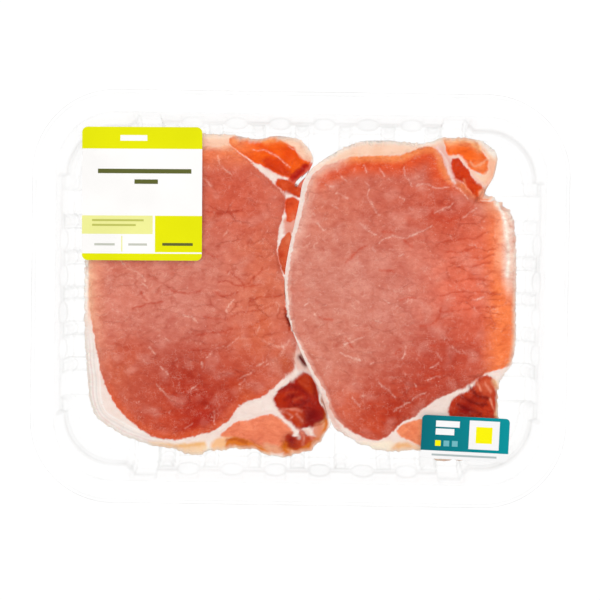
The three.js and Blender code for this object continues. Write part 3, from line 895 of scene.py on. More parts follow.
# Strokes, here and below: the kind, an edge, line or middle in the photo's pixels, the colour, and sizes.
# The left steak's cap, its pale edge, and the flesh beside the slit:
LEFT_CAP_STROKES = (
    ("muscle", LEFT_CAP, seen(245, 96, 22), 0.4),
    ("stain", (288, 154), seen(231, 70, 12), 3.6, 0.85),
    ("area", LEFT_CAP_DARK, seen(210, 52, 14), 0.8, 1.2),
    ("line", ((234, 141), (248, 139), (262, 141), (280, 139), (291, 142)), seen(253, 158, 92), 1.3, 0.85),
    ("line", ((240, 143), (252, 143), (262, 147), (274, 154)), seen(234, 74, 20), 1.0, 0.7),
    ("area", LEFT_CAP_PALE, seen(251, 206, 178), 0.95, 0.5),
    ("stain", (236, 141), seen(246, 150, 100), 5, 0.75),
    ("area", ((284, 220), (292, 214), (297, 221), (293, 233), (286, 236)), seen(226, 136, 112), 0.85),
    ("area", ((292, 338), (299, 337), (303, 348), (299, 352), (294, 349)), seen(212, 132, 116), 0.75),
    ("area", ((294, 352), (302, 350), (308, 362), (316, 376), (306, 372), (297, 370)),
     seen(230, 180, 164), 0.8),
    ("stain", (299, 352.5), seen(204, 118, 88), 2.0, 0.9),
    ("area", ((288, 180), (300, 170), (312, 163), (311, 170), (306, 180), (304, 190), (298, 189),
         (290, 185)),
     seen(222, 84, 50), 0.9, 0.35),
    ("area", ((290, 176), (297, 169), (304, 164), (309, 166), (305, 171), (298, 178), (292, 182)),
     seen(190, 34, 4), 0.9, 0.5),
    ("line", ((294, 178), (300, 172), (305, 168)), seen(164, 18, 2), 0.6, 0.6),
)

# The left steak's small muscles, along its right side and at its foot
LEFT_SMALL_STROKES = (
    ("muscle", LEFT_SMALL_TOP, seen(212, 72, 30), 0.35),
    ("muscle", LEFT_SMALL_MIDDLE, seen(226, 84, 42), 0.35),
    ("muscle", LEFT_SMALL_LOW, seen(217, 96, 58), 0.35),
    ("muscle", LEFT_CORAL, seen(238, 132, 96), 0.35),
    ("muscle", LEFT_DARK, seen(168, 34, 2), 0.35),
    ("muscle", LEFT_SHRED, seen(190, 66, 34), 0.35),
    ("stain", (291, 204), seen(204, 64, 30), 1.3, 0.75),
    ("stain", (294, 217), seen(228, 122, 86), 1.3, 0.75),
    ("stain", (289, 240), seen(224, 118, 82), 1.5, 0.75),
    ("stain", (282, 255), seen(202, 66, 34), 1.2, 0.75),
    ("stain", (291, 190), seen(198, 58, 22), 1.4, 0.75),
)

# The left steak's dark muscle and the torn shreds below it
LEFT_DARK_STROKES = (
    ("area", ((297, 377), (306, 373), (314, 380), (319, 394), (309, 393), (300, 385)),
     seen(180, 54, 8), 0.8),
    ("area", ((274, 399), (281, 392), (287, 399), (283, 408), (276, 407)), seen(186, 48, 12), 0.8),
    ("area", ((279, 411), (290, 407), (301, 409), (305, 420), (300, 428), (290, 422)),
     seen(196, 64, 28), 0.9),
    ("line", ((281, 391), (290, 386), (300, 389), (309, 396)), seen(124, 18, 0), 0.7, 0.6, 0.12),
    ("line", ((284, 400), (294, 397), (303, 402)), seen(124, 18, 0), 0.7, 0.6, 0.12),
    ("line", ((290, 406), (300, 405), (309, 400)), seen(124, 18, 0), 0.7, 0.6, 0.12),
    ("line", ((313, 384), (316, 396)), seen(124, 18, 0), 0.7, 0.6, 0.12),
    ("line", ((286, 394), (297, 392)), seen(196, 74, 44), 0.5, 0.6),
    ("line", ((292, 401), (302, 398)), seen(196, 74, 44), 0.5, 0.6),
    ("line", ((300, 382), (306, 386)), seen(196, 74, 44), 0.5, 0.6),
    ("line", ((280, 410), (292, 409), (302, 411)), seen(232, 150, 128), 0.4, 0.6),
    ("line", ((296, 414), (303, 421)), seen(232, 150, 128), 0.4, 0.6),
    ("line", ((298, 428), (304, 436), (303, 445)), seen(232, 150, 128), 0.4, 0.6),
    ("line", ((306, 431), (313, 440)), seen(232, 150, 128), 0.4, 0.6),
    ("line", ((311, 428), (316, 434)), seen(232, 150, 128), 0.4, 0.6),
    ("line", ((276, 410), (286, 421), (297, 433), (299, 438)), FAT, 0.6, 0.95),
    ("stain", (312, 416), seen(122, 4, 0), 3.2, 1.0),
    ("stain", (318, 421), seen(140, 20, 2), 2.4, 0.95),
    ("stain", (291, 441), seen(138, 14, 6), 2.3, 0.95),
    ("stain", (286, 447), seen(160, 34, 16), 1.4, 0.9),
    ("line", ((322, 399), (326, 410), (326, 420)), seen(176, 84, 34), 0.7, 0.8),
)

# The left steak's yellow fat, along its foot
LEFT_TALLOW_STROKES = (
    ("area", ((212, 443), (222, 437), (242, 441), (256, 446), (268, 452), (262, 458), (246, 453),
         (228, 456), (212, 454)),
     seen(247, 184, 126), 0.9, 0.9),
    ("area", ((148, 442), (176, 444), (205, 443), (208, 451), (196, 461), (176, 453), (156, 449)),
     seen(248, 206, 162), 0.9, 0.9),
    ("area", ((284, 449), (296, 451), (306, 447), (316, 443), (314, 450), (298, 458), (287, 462)),
     seen(238, 152, 84), 0.9, 0.9),
    ("area", ((318, 425), (327, 420), (325, 434), (318, 445), (312, 446), (316, 436)),
     seen(240, 176, 128), 0.9, 0.9),
    ("area", ((264, 444), (276, 446), (284, 450), (278, 456), (268, 454)), seen(232, 166, 130), 0.75),
    ("area", LEFT_TALLOW_DEEP, seen(220, 116, 26), 0.95, 0.6),
    ("area", ((262, 452), (270, 455), (268, 461), (260, 459)), seen(242, 200, 160), 0.7, 0.6),
    ("area", ((316, 424), (322, 424), (323, 433), (318, 440), (313, 434)), seen(222, 128, 96), 0.8, 0.6),
    ("line", ((284, 446), (287, 457)), seen(214, 108, 18), 1.3, 0.95),
    ("line", ((296, 454), (308, 449), (316, 442)), seen(214, 108, 18), 1.2, 0.95),
    ("line", ((326, 421), (325, 430), (318, 440)), seen(214, 108, 18), 0.6, 0.95),
    ("line", ((226, 440), (236, 440), (246, 443)), seen(178, 70, 8), 0.6, 0.7),
    ("line", ((158, 446), (178, 447), (203, 444)), seen(240, 176, 100), 0.7, 0.8),
)

# Dark notches along the line where the steaks touch, painted as the shade in the gap between them
LEFT_GAP_SHADE = (
    ("line", ((285, 309), (286.5, 318), (290, 329)), seen(176, 54, 24), 0.55, 0.85, 0.1),
    ("line", ((286, 314), (287.3, 320), (289, 326)), seen(96, 12, 4), 0.32, 0.9, 0.1),
    ("line", ((300.5, 357), (302.8, 361), (305, 365)), seen(96, 12, 2), 0.95, 1.0, 0.1),
)
WARM = seen(216, 102, 60)
LEFT_LAST_STAINS = (
    (268, 284, 3.5, WARM, 0.3), (262, 300, 3.5, WARM, 0.3), (264, 321, 4.0, WARM, 0.3),
    (255, 338, 6.0, WARM, 0.3), (246, 392, 4.0, WARM, 0.3),
)

# Where the left steak's lean is marbled and folded: x, y in the photo's pixels, radius and strength
LEFT_MARBLED = ((180, 390, 18, 0.5), (145, 405, 12, 0.55), (150, 345, 12, 0.45), (250, 430, 5, 0.4))
LEFT_FOLDED = (
    (235, 230, 14, 0.75), (245, 300, 20, 0.85), (190, 420, 14, 0.7), (150, 300, 16, 0.6), (300, 400, 9, 0.9),
)

# Muscles of the right steak, by their edges in the photo's pixels
RIGHT_EYE = (
    (321, 168), (332, 163), (348, 157.5), (365, 155.5), (388, 156), (402, 155), (414, 149.5), (427, 147),
    (436, 149), (442, 157), (445, 166), (451, 177), (457, 180), (463, 184), (469, 191), (477, 199),
    (487, 202), (496, 201), (506, 208), (516, 218), (521, 240), (520, 262), (519, 292), (520, 325),
    (518, 355), (507, 367), (492, 371), (480, 378), (468, 386), (452, 393), (440, 398), (426, 407),
    (412, 418), (398, 426), (391, 434), (384, 439), (374, 440), (360, 436), (346, 428), (337, 420),
    (330, 409), (327.5, 396), (319, 381), (308.5, 361), (299, 342), (291.8, 324), (289, 302), (288, 284),
    (291, 262), (295, 240), (300, 222), (304, 202), (308, 186), (313, 175),
)

# Its soft patches of colour, then its smaller muscles
RIGHT_STAINS = (
    (335, 280, 28, seen(214, 138, 120), 0.95), (400, 300, 26, seen(213, 130, 113), 0.95),
    (340, 350, 18, seen(212, 128, 108), 0.8), (330, 200, 12, seen(214, 116, 92), 0.7),
    (420, 200, 17, seen(208, 96, 74), 0.85), (375, 205, 13, seen(206, 106, 86), 0.7),
    (470, 290, 16, seen(236, 112, 84), 0.9), (487, 250, 12, seen(234, 112, 80), 0.8),
    (482, 340, 12, seen(226, 102, 74), 0.75), (440, 370, 17, seen(184, 54, 32), 0.85),
    (390, 410, 14, seen(182, 50, 24), 0.9), (368, 430, 7, seen(198, 64, 30), 0.8),
    (348, 408, 8, seen(210, 92, 64), 0.7), (448, 216, 8, seen(200, 64, 36), 0.7),
)
RIGHT_CAP = (
    (446, 151), (444, 140), (450, 136), (470, 137), (478, 143), (480, 150), (487, 158), (489, 168),
    (485, 175), (478, 173), (472, 170), (467, 164), (462, 158), (456, 155), (450, 156),
)
RIGHT_CAP_PALE = (
    (474, 134), (500, 148), (498, 172), (489, 186), (480, 182), (472, 172), (480, 176), (488, 171),
    (488, 160), (480, 148),
)
RIGHT_WEDGE = (
    (451, 160), (457, 158), (463, 163), (468, 170), (474, 180), (483, 187), (486, 194), (482, 199),
    (477, 200), (470, 192), (463, 183), (455, 178), (452, 169),
)
RIGHT_DARK = (
    (480, 378), (489, 376), (496, 382), (499, 396), (500, 420), (492, 438), (470, 444), (454, 434),
    (449, 412), (452, 401), (461, 394), (471, 389),
)
RIGHT_CORAL = (
    (396, 432), (404, 425), (416, 420), (432, 420), (444, 428), (448, 440), (436, 449), (424, 448),
    (410, 441),
)

# Threads of fat and dark cracks in its eye
RIGHT_VEINS = (
    ((336, 168), (338, 172)), ((341, 176), (347, 182)), ((326, 185), (334, 187)),
    ((336, 193), (348, 199)), ((364, 165), (366, 172)),
    ((365, 182), (369, 188), (367, 195), (371, 203), (375, 210), (379, 216)),
    ((360, 224), (368, 231), (376, 234)),
    ((379, 243), (385, 239), (392, 236), (402, 238), (412, 236), (418, 233)),
    ((412, 236), (424, 230), (432, 226)), ((404, 167), (405, 176), (410, 182), (412, 186)),
    ((416, 186), (426, 184), (437, 188), (448, 188)), ((452, 186), (462, 192), (468, 199)),
    ((434, 213), (444, 209), (453, 204)), ((463, 217), (470, 213), (477, 208)), ((400, 198), (404, 200)),
    ((409, 207), (412, 210)), ((379, 168), (384, 176)), ((306, 238), (310, 234)),
    ((312, 213), (315, 216)), ((376, 320), (381, 323)), ((344, 344), (354, 341), (362, 338)),
    ((340, 353), (350, 357), (360, 361)), ((370, 364), (374, 362)), ((402, 359), (405, 352), (405, 346)),
    ((415, 384), (417, 387)), ((412, 400), (420, 395), (426, 393)), ((394, 412), (402, 406), (410, 402)),
    ((436, 352), (442, 360)), ((430, 368), (438, 364)), ((378, 382), (388, 390), (396, 398)),
    ((352, 398), (360, 407)), ((384, 300), (390, 303)), ((305, 306), (308, 302)),
    ((318, 224), (323, 230)), ((332, 205), (338, 209)), ((452, 348), (460, 352)),
    ((428, 380), (440, 376)), ((372, 248), (376, 252)), ((474, 300), (484, 297)),
    ((398, 256), (404, 254)),
)
RIGHT_CRACKS = (
    ((346, 262), (356, 252), (366, 246)), ((432, 212), (436, 220), (445, 222), (458, 217)),
    ((383, 232), (394, 233)), ((440, 242), (456, 240), (472, 238), (488, 232)),
    ((446, 252), (460, 252), (476, 248)), ((420, 326), (430, 325), (438, 318), (441, 308)),
    ((440, 312), (456, 311), (474, 308), (494, 306)), ((440, 296), (458, 292), (480, 292), (500, 294)),
    ((400, 300), (408, 298), (416, 298)), ((452, 268), (470, 266), (490, 262)),
    ((456, 281), (474, 279), (494, 282)), ((466, 256), (480, 258), (494, 254)),
    ((430, 346), (448, 344), (462, 340)), ((370, 404), (376, 412), (384, 418)),
    ((404, 386), (416, 390), (428, 386)), ((420, 372), (430, 376), (440, 374)), ((380, 270), (394, 272)),
    ((320, 318), (332, 320)), ((346, 338), (352, 348)), ((392, 356), (400, 350)),
    ((404, 240), (412, 246)),
)

# The right steak's outer fat with a pale line along its east edge, a painted highlight, and the pink flesh
# beside its cap
RIGHT_FAT_AND_HIGHLIGHT_STROKES = (
    ("line", ((497, 204), (504, 218), (507, 238), (508, 262), (507, 276)), seen(250, 236, 222), 0.8, 0.9),
    ("line", ((514, 222), (515, 236), (513, 250)), seen(232, 150, 128), 0.6, 0.6),
    ("line", ((440, 150), (446, 158), (450, 168), (456, 180)), seen(230, 150, 136), 1.6, 0.75),
)

# The right steak's cap, the fat round it and the wedge below it
RIGHT_CAP_STROKES = (
    ("muscle", RIGHT_CAP, seen(250, 106, 32), 0.4),
    ("line", ((447, 140), (462, 140), (472, 142), (480, 149)), seen(253, 186, 130), 1.6, 0.9),
    ("stain", (480, 168), seen(250, 142, 86), 3.2, 0.7),
    ("area", RIGHT_CAP_PALE, seen(250, 204, 172), 0.95, 0.6),
    ("area", ((474, 132), (492, 138), (500, 150), (494, 157), (487, 153), (481, 145)),
     seen(251, 242, 232), 0.9),
    ("area", ((489, 160), (498, 162), (497, 176), (489, 187), (484, 184), (489, 174)),
     seen(246, 184, 152), 0.9, 0.7),
    ("stain", (450, 138), seen(250, 176, 128), 3.0, 0.9),
    ("line", ((470, 162), (475, 166), (481, 164), (487, 160)), seen(252, 178, 136), 0.4, 0.8),
    ("muscle", RIGHT_WEDGE, seen(210, 58, 14), 0.3),
    ("stain", (483, 194), seen(240, 96, 28), 2.5, 0.85),
    ("area", ((478, 192), (488, 189), (493, 197), (485, 201)), seen(247, 178, 142), 0.8, 0.5),
    ("line", ((463, 180), (468, 190), (477, 198.5), (487, 200)), seen(242, 146, 104), 0.4, 0.9),
    ("line", ((451, 157), (458, 156.5), (465, 162), (470, 171), (476, 180), (484, 185), (490, 180)),
     seen(250, 198, 176), 0.5, 0.9),
)

# The right steak's pink and dark muscles and yellow fat, at its foot
RIGHT_FOOT_STROKES = (
    ("muscle", RIGHT_CORAL, seen(246, 142, 98), 0.3),
    ("muscle", RIGHT_DARK, seen(190, 54, 26), 0.5),
    ("stain", (488, 386), seen(214, 94, 60), 3.6, 0.85),
    ("stain", (466, 410), seen(140, 12, 4), 3.4, 0.9),
    ("line", ((470, 388), (478, 396), (489, 398)), seen(120, 12, 6), 0.6, 0.8, 0.2),
    ("line", ((462, 397), (472, 402), (486, 405)), seen(120, 12, 6), 0.6, 0.8, 0.2),
    ("line", ((457, 405), (468, 410), (482, 414)), seen(120, 12, 6), 0.6, 0.8, 0.2),
    ("line", ((476, 382), (481, 390)), seen(238, 146, 116), 0.4, 0.8),
    ("line", ((485, 383), (491, 392)), seen(238, 146, 116), 0.4, 0.8),
    ("line", ((490, 398), (493, 408)), seen(238, 146, 116), 0.4, 0.8),
    ("area", ((388, 451), (398, 443), (412, 445), (426, 451), (440, 458), (456, 458), (454, 466),
         (436, 466), (418, 456)),
     TALLOW, 0.85, 0.9),
    ("area", ((452, 444), (470, 448), (490, 442), (498, 424), (506, 440), (492, 460), (462, 464)),
     TALLOW, 0.85, 0.9),
    ("area", ((492, 380), (500, 384), (502, 420), (496, 418), (498, 396)), TALLOW, 0.85, 0.9),
    ("area", ((362, 442), (376, 443), (392, 441), (396, 452), (380, 456), (362, 452)),
     seen(251, 234, 208), 0.8),
    ("line", ((394, 449), (404, 446), (418, 450)), seen(240, 176, 120), 1.2, 0.85),
    ("line", ((322, 396), (329, 412), (337, 426), (346, 437)), seen(231, 184, 168), 0.9, 0.7),
    ("line", ((428, 461), (440, 464), (456, 461)), seen(232, 130, 84), 1.0, 0.9),
)

# The pale sinew beside the right steak's cap, and where its lean is marbled and folded
RIGHT_SINEW = ((437, 147), (443, 155), (447, 163), (449, 172), (455, 184))
RIGHT_MARBLED = ((420, 380, 20, 0.55), (370, 400, 14, 0.5), (390, 210, 18, 0.45), (320, 250, 12, 0.4))
RIGHT_FOLDED = (
    (470, 250, 16, 0.8), (480, 310, 14, 0.75), (450, 220, 8, 0.9), (475, 400, 9, 0.9), (400, 400, 14, 0.5),
)


def photo_line(line, depth=FACE_DEPTH):
    return np.array([from_photo(x, y, depth) for x, y in line])


def reach_table(outline, centre):
    """Direction and distance of a closed outline from a centre, in order of direction."""
    curve = smooth_outline(outline, steps=14) - np.asarray(centre)
    angles = np.arctan2(curve[:, 1], curve[:, 0])
    order = np.argsort(angles)
    return angles[order], np.hypot(curve[:, 0], curve[:, 1])[order]


def reach_at(table, angles):
    return np.interp(angles, table[0], table[1], period=2 * math.pi)


def square_to_disc(square):
    u, v = square.T
    return np.column_stack([u * np.sqrt(1 - v * v / 2), v * np.sqrt(1 - u * u / 2)])


class Canvas:
    """The painted face of a steak: places in millimetres, each with a colour, a share of fat, a height."""

    def __init__(self, places, outline, sizes):
        self.places = places
        self.sizes = sizes
        wobble = np.column_stack([noise_over(places, 2.6, 3.1), noise_over(places, 2.6, 8.7)])
        ripple = np.column_stack([noise_over(places, 0.9, 1.7), noise_over(places, 0.9, 6.2)])
        self.loose = places + 0.45 * wobble + 0.32 * ripple
        self.beads = 0.45 + 0.55 * smoothstep(noise_over(places, 0.7, 4.4), -0.25, 0.3)
        self.edge = depth_inside(places, outline)
        self.colour = np.tile(albedo(sizes.fat), (len(places), 1))
        self.fat = np.ones(len(places))
        self.height = np.zeros(len(places))
        self.folded = np.zeros(len(places))
        self.marbled = np.zeros(len(places))

    def tint(self, colour, mask):
        self.colour += (albedo(colour) - self.colour) * mask[:, None]

    def muscle(self, edge, colour, bulge=0.0, blur=0.28, marbled=0.1):
        """Lean meat inside an edge, a little raised, with a seam round it."""
        inside = depth_inside(self.loose, smooth_outline(photo_line(edge)))
        mask = smoothstep(inside, -blur, blur)
        self.tint(colour, mask)
        self.fat *= 1 - mask
        self.marbled += (marbled - self.marbled) * mask
        self.height += bulge * smoothstep(inside, 0, 3.5)
        self.height -= self.sizes.seam_depth * np.exp(-(inside / 0.8) ** 2)
        return inside

    def area(self, edge, colour, strength=1.0, blur=0.8):
        """A tint with soft edges, fat or lean as before."""
        inside = depth_inside(self.loose, smooth_outline(photo_line(edge)))
        self.tint(colour, strength * smoothstep(inside, -blur, blur))

    def stain(self, middle, colour, radius, strength=0.8):
        """A round soft tint on the lean, its middle a photo pixel and its radius in millimetres."""
        offset = self.places - np.array(from_photo(*middle))
        mask = strength * np.exp(-(np.hypot(*offset.T) / radius) ** 2) * (1 - self.fat)
        self.tint(colour, mask)

    def stains(self, spots):
        """Stains one after another: x, y, radius, colour, or none for the lean's own, and strength."""
        for x, y, radius, colour, strength in spots:
            self.stain((x, y), colour or self.sizes.lean, radius, strength)

    def line(self, line, colour, width, strength=0.8, depth=0.0):
        curve = smooth_outline(photo_line(line), closed=False, steps=5)
        near = np.all((self.places > curve.min(0) - 3) & (self.places < curve.max(0) + 3), axis=1)
        away = distance_to_line(self.loose[near], curve)
        mask = np.zeros(len(self.places))
        mask[near] = strength * np.exp(-(away / width) ** 2)
        self.tint(colour, mask)
        self.height -= depth * mask

    def strokes(self, table):
        """Strokes one after another: the kind, an edge, line or middle, its colour and its sizes."""
        kinds = {"muscle": self.muscle, "area": self.area, "line": self.line, "stain": self.stain}
        for kind, place, colour, *sizes in table:
            kinds[kind](place, colour, *sizes)

    def vein(self, line, colour, strength=0.5, width=0.24):
        """A thin broken thread of fat."""
        curve = smooth_outline(photo_line(line), closed=False, steps=5)
        near = np.all((self.places > curve.min(0) - 1) & (self.places < curve.max(0) + 1), axis=1)
        away = distance_to_line(self.loose[near], curve)
        mask = np.zeros(len(self.places))
        mask[near] = strength * np.exp(-(away / width) ** 2) * self.beads[near]
        self.tint(colour, mask)

    def spread(self, layer, spots):
        """Raises a layer of the lean round photo pixels: x, y, radius in millimetres and value."""
        for x, y, radius, value in spots:
            away = np.hypot(*(self.places - np.array(from_photo(x, y))).T)
            np.maximum(layer, value * np.exp(-(away / radius) ** 2) * (1 - self.fat), out=layer)

    def mottle(self, colour, size, seed, strength, low=0.05, high=0.6):
        """Soft patches of a tint over the lean."""
        lumps = smoothstep(noise_over(self.places, size, seed), low, high)
        self.tint(colour, (1 - self.fat) * strength * lumps)

    def write(self, bm):
        """Puts the colour and the shares on the vertices."""
        paint = bm.verts.layers.float_color.new("paint")
        layers = [bm.verts.layers.float.new(name) for name in ("fat", "marbled", "folded")]
        for vertex, colour, *values in zip(bm.verts, self.colour, self.fat, self.marbled, self.folded):
            vertex[paint] = (*np.clip(colour, 0, 1), 1)
            for layer, value in zip(layers, values):
                vertex[layer] = value


def noise_round(angles, lumps, seed):
    """Smooth noise from -1 to 1 by direction, the same after a whole turn."""
    return np.array([noise.noise(Vector((lumps * math.cos(a), lumps * math.sin(a), seed))) for a in angles])


def open_slit(bm, inner, depth):
    """Removes the faces inside the slit and marks the vertices along it."""
    cut = [face for face in bm.faces if sum(depth[vertex.index] for vertex in face.verts) > 0]
    for face in cut:
        for vertex in face.verts:
            vertex[inner] = not vertex.is_boundary
    bmesh.ops.delete(bm, geom=cut, context="FACES")


def torn(angles, stretches):
    """How torn the edge is by direction: stretches as their middles and half widths in degrees."""
    away = [(np.degrees(np.asarray(angles)) - middle) / half for middle, half in stretches]
    return 0.55 + 0.75 * np.max([np.exp(-part ** 2) for part in away], axis=0)


def rays(angles):
    """Unit vectors in the directions."""
    return np.column_stack([np.cos(angles), np.sin(angles)])


def free_share(places):
    """0 where the steaks touch, 1 away from there."""
    return smoothstep(distance_to_line(places, CONTACT), 0.6, 5.0)


def face_heights(canvas, edge_depth, rounding):
    """Heights of the cut face: slow swells, the muscles and seams, and the fall to its edge."""
    swell = 0.4 * noise_over(canvas.places, 24.0, 5.5) + 0.12 * noise_over(canvas.places, 6.0, 1.5)
    fall = EDGE_FALL * rounding * (1 - edge_depth) ** 2
    return np.minimum(STEAK_HIGH.z - FACE_DROP + swell + canvas.height - fall, STEAK_HIGH.z)


def steak_piece(name, outline, centre, paint, sizes, material, stretches, slit=None):
    """A steak as a fine mesh: a painted cut face, worn edges, sides and a flat foot."""
    table = reach_table(outline, centre)
    centre = np.asarray(centre)
    cells = int(np.ptp(np.asarray(outline), axis=0).mean() / sizes.spacing)
    bm = bmesh.new()
    bmesh.ops.create_grid(bm, x_segments=cells, y_segments=cells, size=1)
    disc = square_to_disc(np.array([vertex.co.xy for vertex in bm.verts]).clip(-1, 1))
    angles = np.arctan2(disc[:, 1], disc[:, 0])
    share = np.hypot(*disc.T)
    reach = reach_at(table, angles)
    free = free_share(centre + rays(angles) * reach[:, None])
    ragged = 0.8 * noise_round(angles, 18, centre[0]) + 0.8 * noise_round(angles, 46, centre[0])
    reach = reach + free * (ragged - 0.4) * torn(angles, stretches)
    places = centre + rays(angles) * (reach * share)[:, None]
    canvas = Canvas(places, smooth_outline(outline), sizes)
    paint(canvas)
    loose_edge = smoothstep(distance_to_line(places, CONTACT), 2.0, 6.0)
    rounding = EDGE_ROUNDING[0] + (EDGE_ROUNDING[1] - EDGE_ROUNDING[0]) * loose_edge
    edge_depth = np.clip((1 - share) * reach / rounding, 0, 1)
    # Painted highlight: the worn edge turns paler towards its rim, against the shade of its fall
    canvas.tint(EDGE_HIGHLIGHT, 0.55 * (1 - edge_depth) ** 1.3 * loose_edge)
    for vertex, (x, y), z in zip(bm.verts, places, face_heights(canvas, edge_depth, rounding)):
        vertex.co = (x, y, z)
    canvas.write(bm)
    inner = bm.verts.layers.int.new("slit")
    if slit:
        open_slit(bm, inner, depth_inside(places, photo_line(slit)))
    add_sides(bm, table, centre, inner, sizes)
    return finished(name, bm, [material])


def add_sides(bm, table, centre, inner, sizes):
    """The sides, paler ring by ring, and the foot. The slit's own sides go straight down."""
    paint = bm.verts.layers.float_color["paint"]
    fat = bm.verts.layers.float["fat"]
    side_colour = Vector((*albedo(sizes.fat), 1))
    edges = [edge for edge in bm.edges if edge.is_boundary]
    for out, height in SIDE_RINGS:
        made = bmesh.ops.extrude_edge_only(bm, edges=edges)["geom"]
        fresh = {item for item in made if isinstance(item, bmesh.types.BMVert)}
        for vertex in fresh:
            vertex[paint] = vertex[paint].lerp(side_colour, SIDE_PALER)
            vertex[fat] += SIDE_PALER * (1 - vertex[fat])
            if vertex[inner]:
                vertex.co.z = height
                continue
            angle = math.atan2(vertex.co.y - centre[1], vertex.co.x - centre[0])
            reach = float(reach_at(table, angle))
            heading = rays([angle])
            loose = float(free_share(centre + heading * reach)[0])
            lump = SIDE_LUMP * float(noise_round([angle], 12, height)[0])
            far = reach + loose * (out + lump - FREE_GAP) - (1 - loose) * CONTACT_GAP
            vertex.co = (*(centre + heading[0] * far), height)
        edges = [item for item in made if isinstance(item, bmesh.types.BMEdge)
                 and all(end in fresh for end in item.verts)]
    bmesh.ops.triangle_fill(bm, edges=edges, use_beauty=True)
    bmesh.ops.recalc_face_normals(bm, faces=bm.faces)


def scattered_veins(canvas, inside, count, seed, colour, strength):
    """Fine marbling: short bent threads strewn over the lean, the same ones each time."""
    draw = random.Random(seed)
    lean = np.flatnonzero(inside > 2)
    for _ in range(count):
        heading = draw.gauss(0.4, 0.9)
        line = [canvas.places[lean[draw.randrange(len(lean))]]]
        for _ in range(draw.choice((1, 1, 1, 2))):
            heading += draw.gauss(0, 0.5)
            step = draw.uniform(0.2, 1.3)
            line.append(line[-1] + step * np.array([math.cos(heading), math.sin(heading)]))
        curve = np.array(line)
        near = np.all((canvas.places > curve.min(0) - 1) & (canvas.places < curve.max(0) + 1), axis=1)
        away = distance_to_line(canvas.loose[near], curve)
        mask = np.zeros(len(canvas.places))
        mask[near] = strength * draw.uniform(0.4, 1.0) * np.exp(-(away / 0.22) ** 2) * canvas.beads[near]
        canvas.tint(colour, mask * (1 - canvas.fat))


def paint_left(canvas):
    """The left steak: its eye and edges, the small muscles, the tallow and the threads over them."""
    canvas.tint(FAT_BRIGHT, smoothstep(canvas.edge, 5.5, 2.0) * 0.9)
    eye = canvas.muscle(LEFT_EYE, seen(212, 108, 86), bulge=0.5, marbled=0.4)
    canvas.stains(LEFT_STAINS)
    canvas.mottle(seen(190, 72, 50), 6.5, 2.3, 0.22)
    canvas.mottle(seen(226, 152, 136), 5.0, 7.7, 0.28)
    canvas.mottle(seen(196, 86, 64), 1.8, 9.1, 0.2, 0.1, 0.5)
    paint_left_edges(canvas, eye)
    for strokes in (LEFT_CAP_STROKES, LEFT_SMALL_STROKES, LEFT_DARK_STROKES, LEFT_TALLOW_STROKES):
        canvas.strokes(strokes)
    paint_left_threads(canvas, eye)


def paint_left_edges(canvas, eye):
    """Paler lean along the west, painted light along the top, an orange glow through the thin edge under a
    pale band of light from above, and redder lean beside the lower fat.
    """
    east, north = canvas.places.T
    lean = 1 - canvas.fat
    west = smoothstep(-east, 50, 64)
    beside_rim = lean * smoothstep(canvas.edge, 10.0, 3.0)
    canvas.tint(seen(236, 156, 128), beside_rim * west * smoothstep(north, -32, -12))
    upper_west = west * smoothstep(north, -15, -3)
    canvas.tint(seen(242, 180, 148), smoothstep(canvas.edge, 5.5, 1.2) * upper_west)
    canvas.tint(seen(250, 236, 226), smoothstep(canvas.edge, 2.2, 0.9) * upper_west)
    canvas.tint(seen(226, 96, 56), lean * smoothstep(eye, 4.0, 0.3) * 0.75 * smoothstep(-north, 26, 40))
    # Painted light along the top: orange where light shines through the thin edge, then a pale band of light
    # from above
    canvas.tint(seen(240, 124, 82), lean * smoothstep(north, 44, 52) * 0.95)
    canvas.tint(seen(252, 204, 176), smoothstep(north, 51.5, 54.5) * smoothstep(-east, 22, 27) * 0.95)
    canvas.tint(seen(253, 218, 194), smoothstep(canvas.edge, 3.2, 1.0) * smoothstep(north, 48, 54) * 0.95)


def paint_left_threads(canvas, eye):
    """Threads of fat and dark cracks in the eye, dark notches painted as the shade in the gap where the
    steaks touch, and membranes in the lower fat.
    """
    for line in LEFT_VEINS:
        canvas.vein(line, seen(246, 206, 188))
    for line in LEFT_CRACKS:
        canvas.line(line, seen(190, 58, 34), 0.42, 0.55, 0.12)
    scattered_veins(canvas, eye, 170, 11, seen(240, 190, 172), 0.42)
    # Painted shade in the gap where the steaks touch
    canvas.strokes(LEFT_GAP_SHADE)
    canvas.stains(LEFT_LAST_STAINS)
    east, north = canvas.places.T
    low_west = canvas.fat * smoothstep(-north, 8, 26) * smoothstep(-east, 34, 50)
    drift = noise_over(canvas.places, 9.0, 3.3)
    for deep, colour, strength in ((0.9, seen(212, 198, 186), 0.5), (1.9, seen(222, 186, 182), 0.5),
                                   (3.0, seen(216, 206, 200), 0.5), (4.2, seen(252, 246, 242), 0.7)):
        membrane = np.exp(-((canvas.edge - deep - 0.9 * drift) / 0.25) ** 2)
        canvas.tint(colour, low_west * membrane * strength)
    canvas.spread(canvas.marbled, LEFT_MARBLED)
    canvas.folded += 0.3 * (1 - canvas.fat)
    canvas.spread(canvas.folded, LEFT_FOLDED)


def paint_right(canvas):
    """The right steak: its eye and edges, the cap, the foot and the threads over them."""
    eye = canvas.muscle(RIGHT_EYE, seen(214, 112, 90), bulge=0.5, marbled=0.4)
    canvas.stains(RIGHT_STAINS)
    canvas.mottle(seen(196, 80, 56), 6.5, 12.3, 0.2)
    canvas.mottle(seen(228, 156, 140), 5.0, 17.7, 0.28)
    canvas.mottle(seen(200, 90, 68), 1.8, 19.1, 0.2, 0.1, 0.5)
    paint_right_edges(canvas, eye)
    canvas.strokes(RIGHT_CAP_STROKES)
    canvas.strokes(RIGHT_FOOT_STROKES)
    paint_right_threads(canvas, eye)


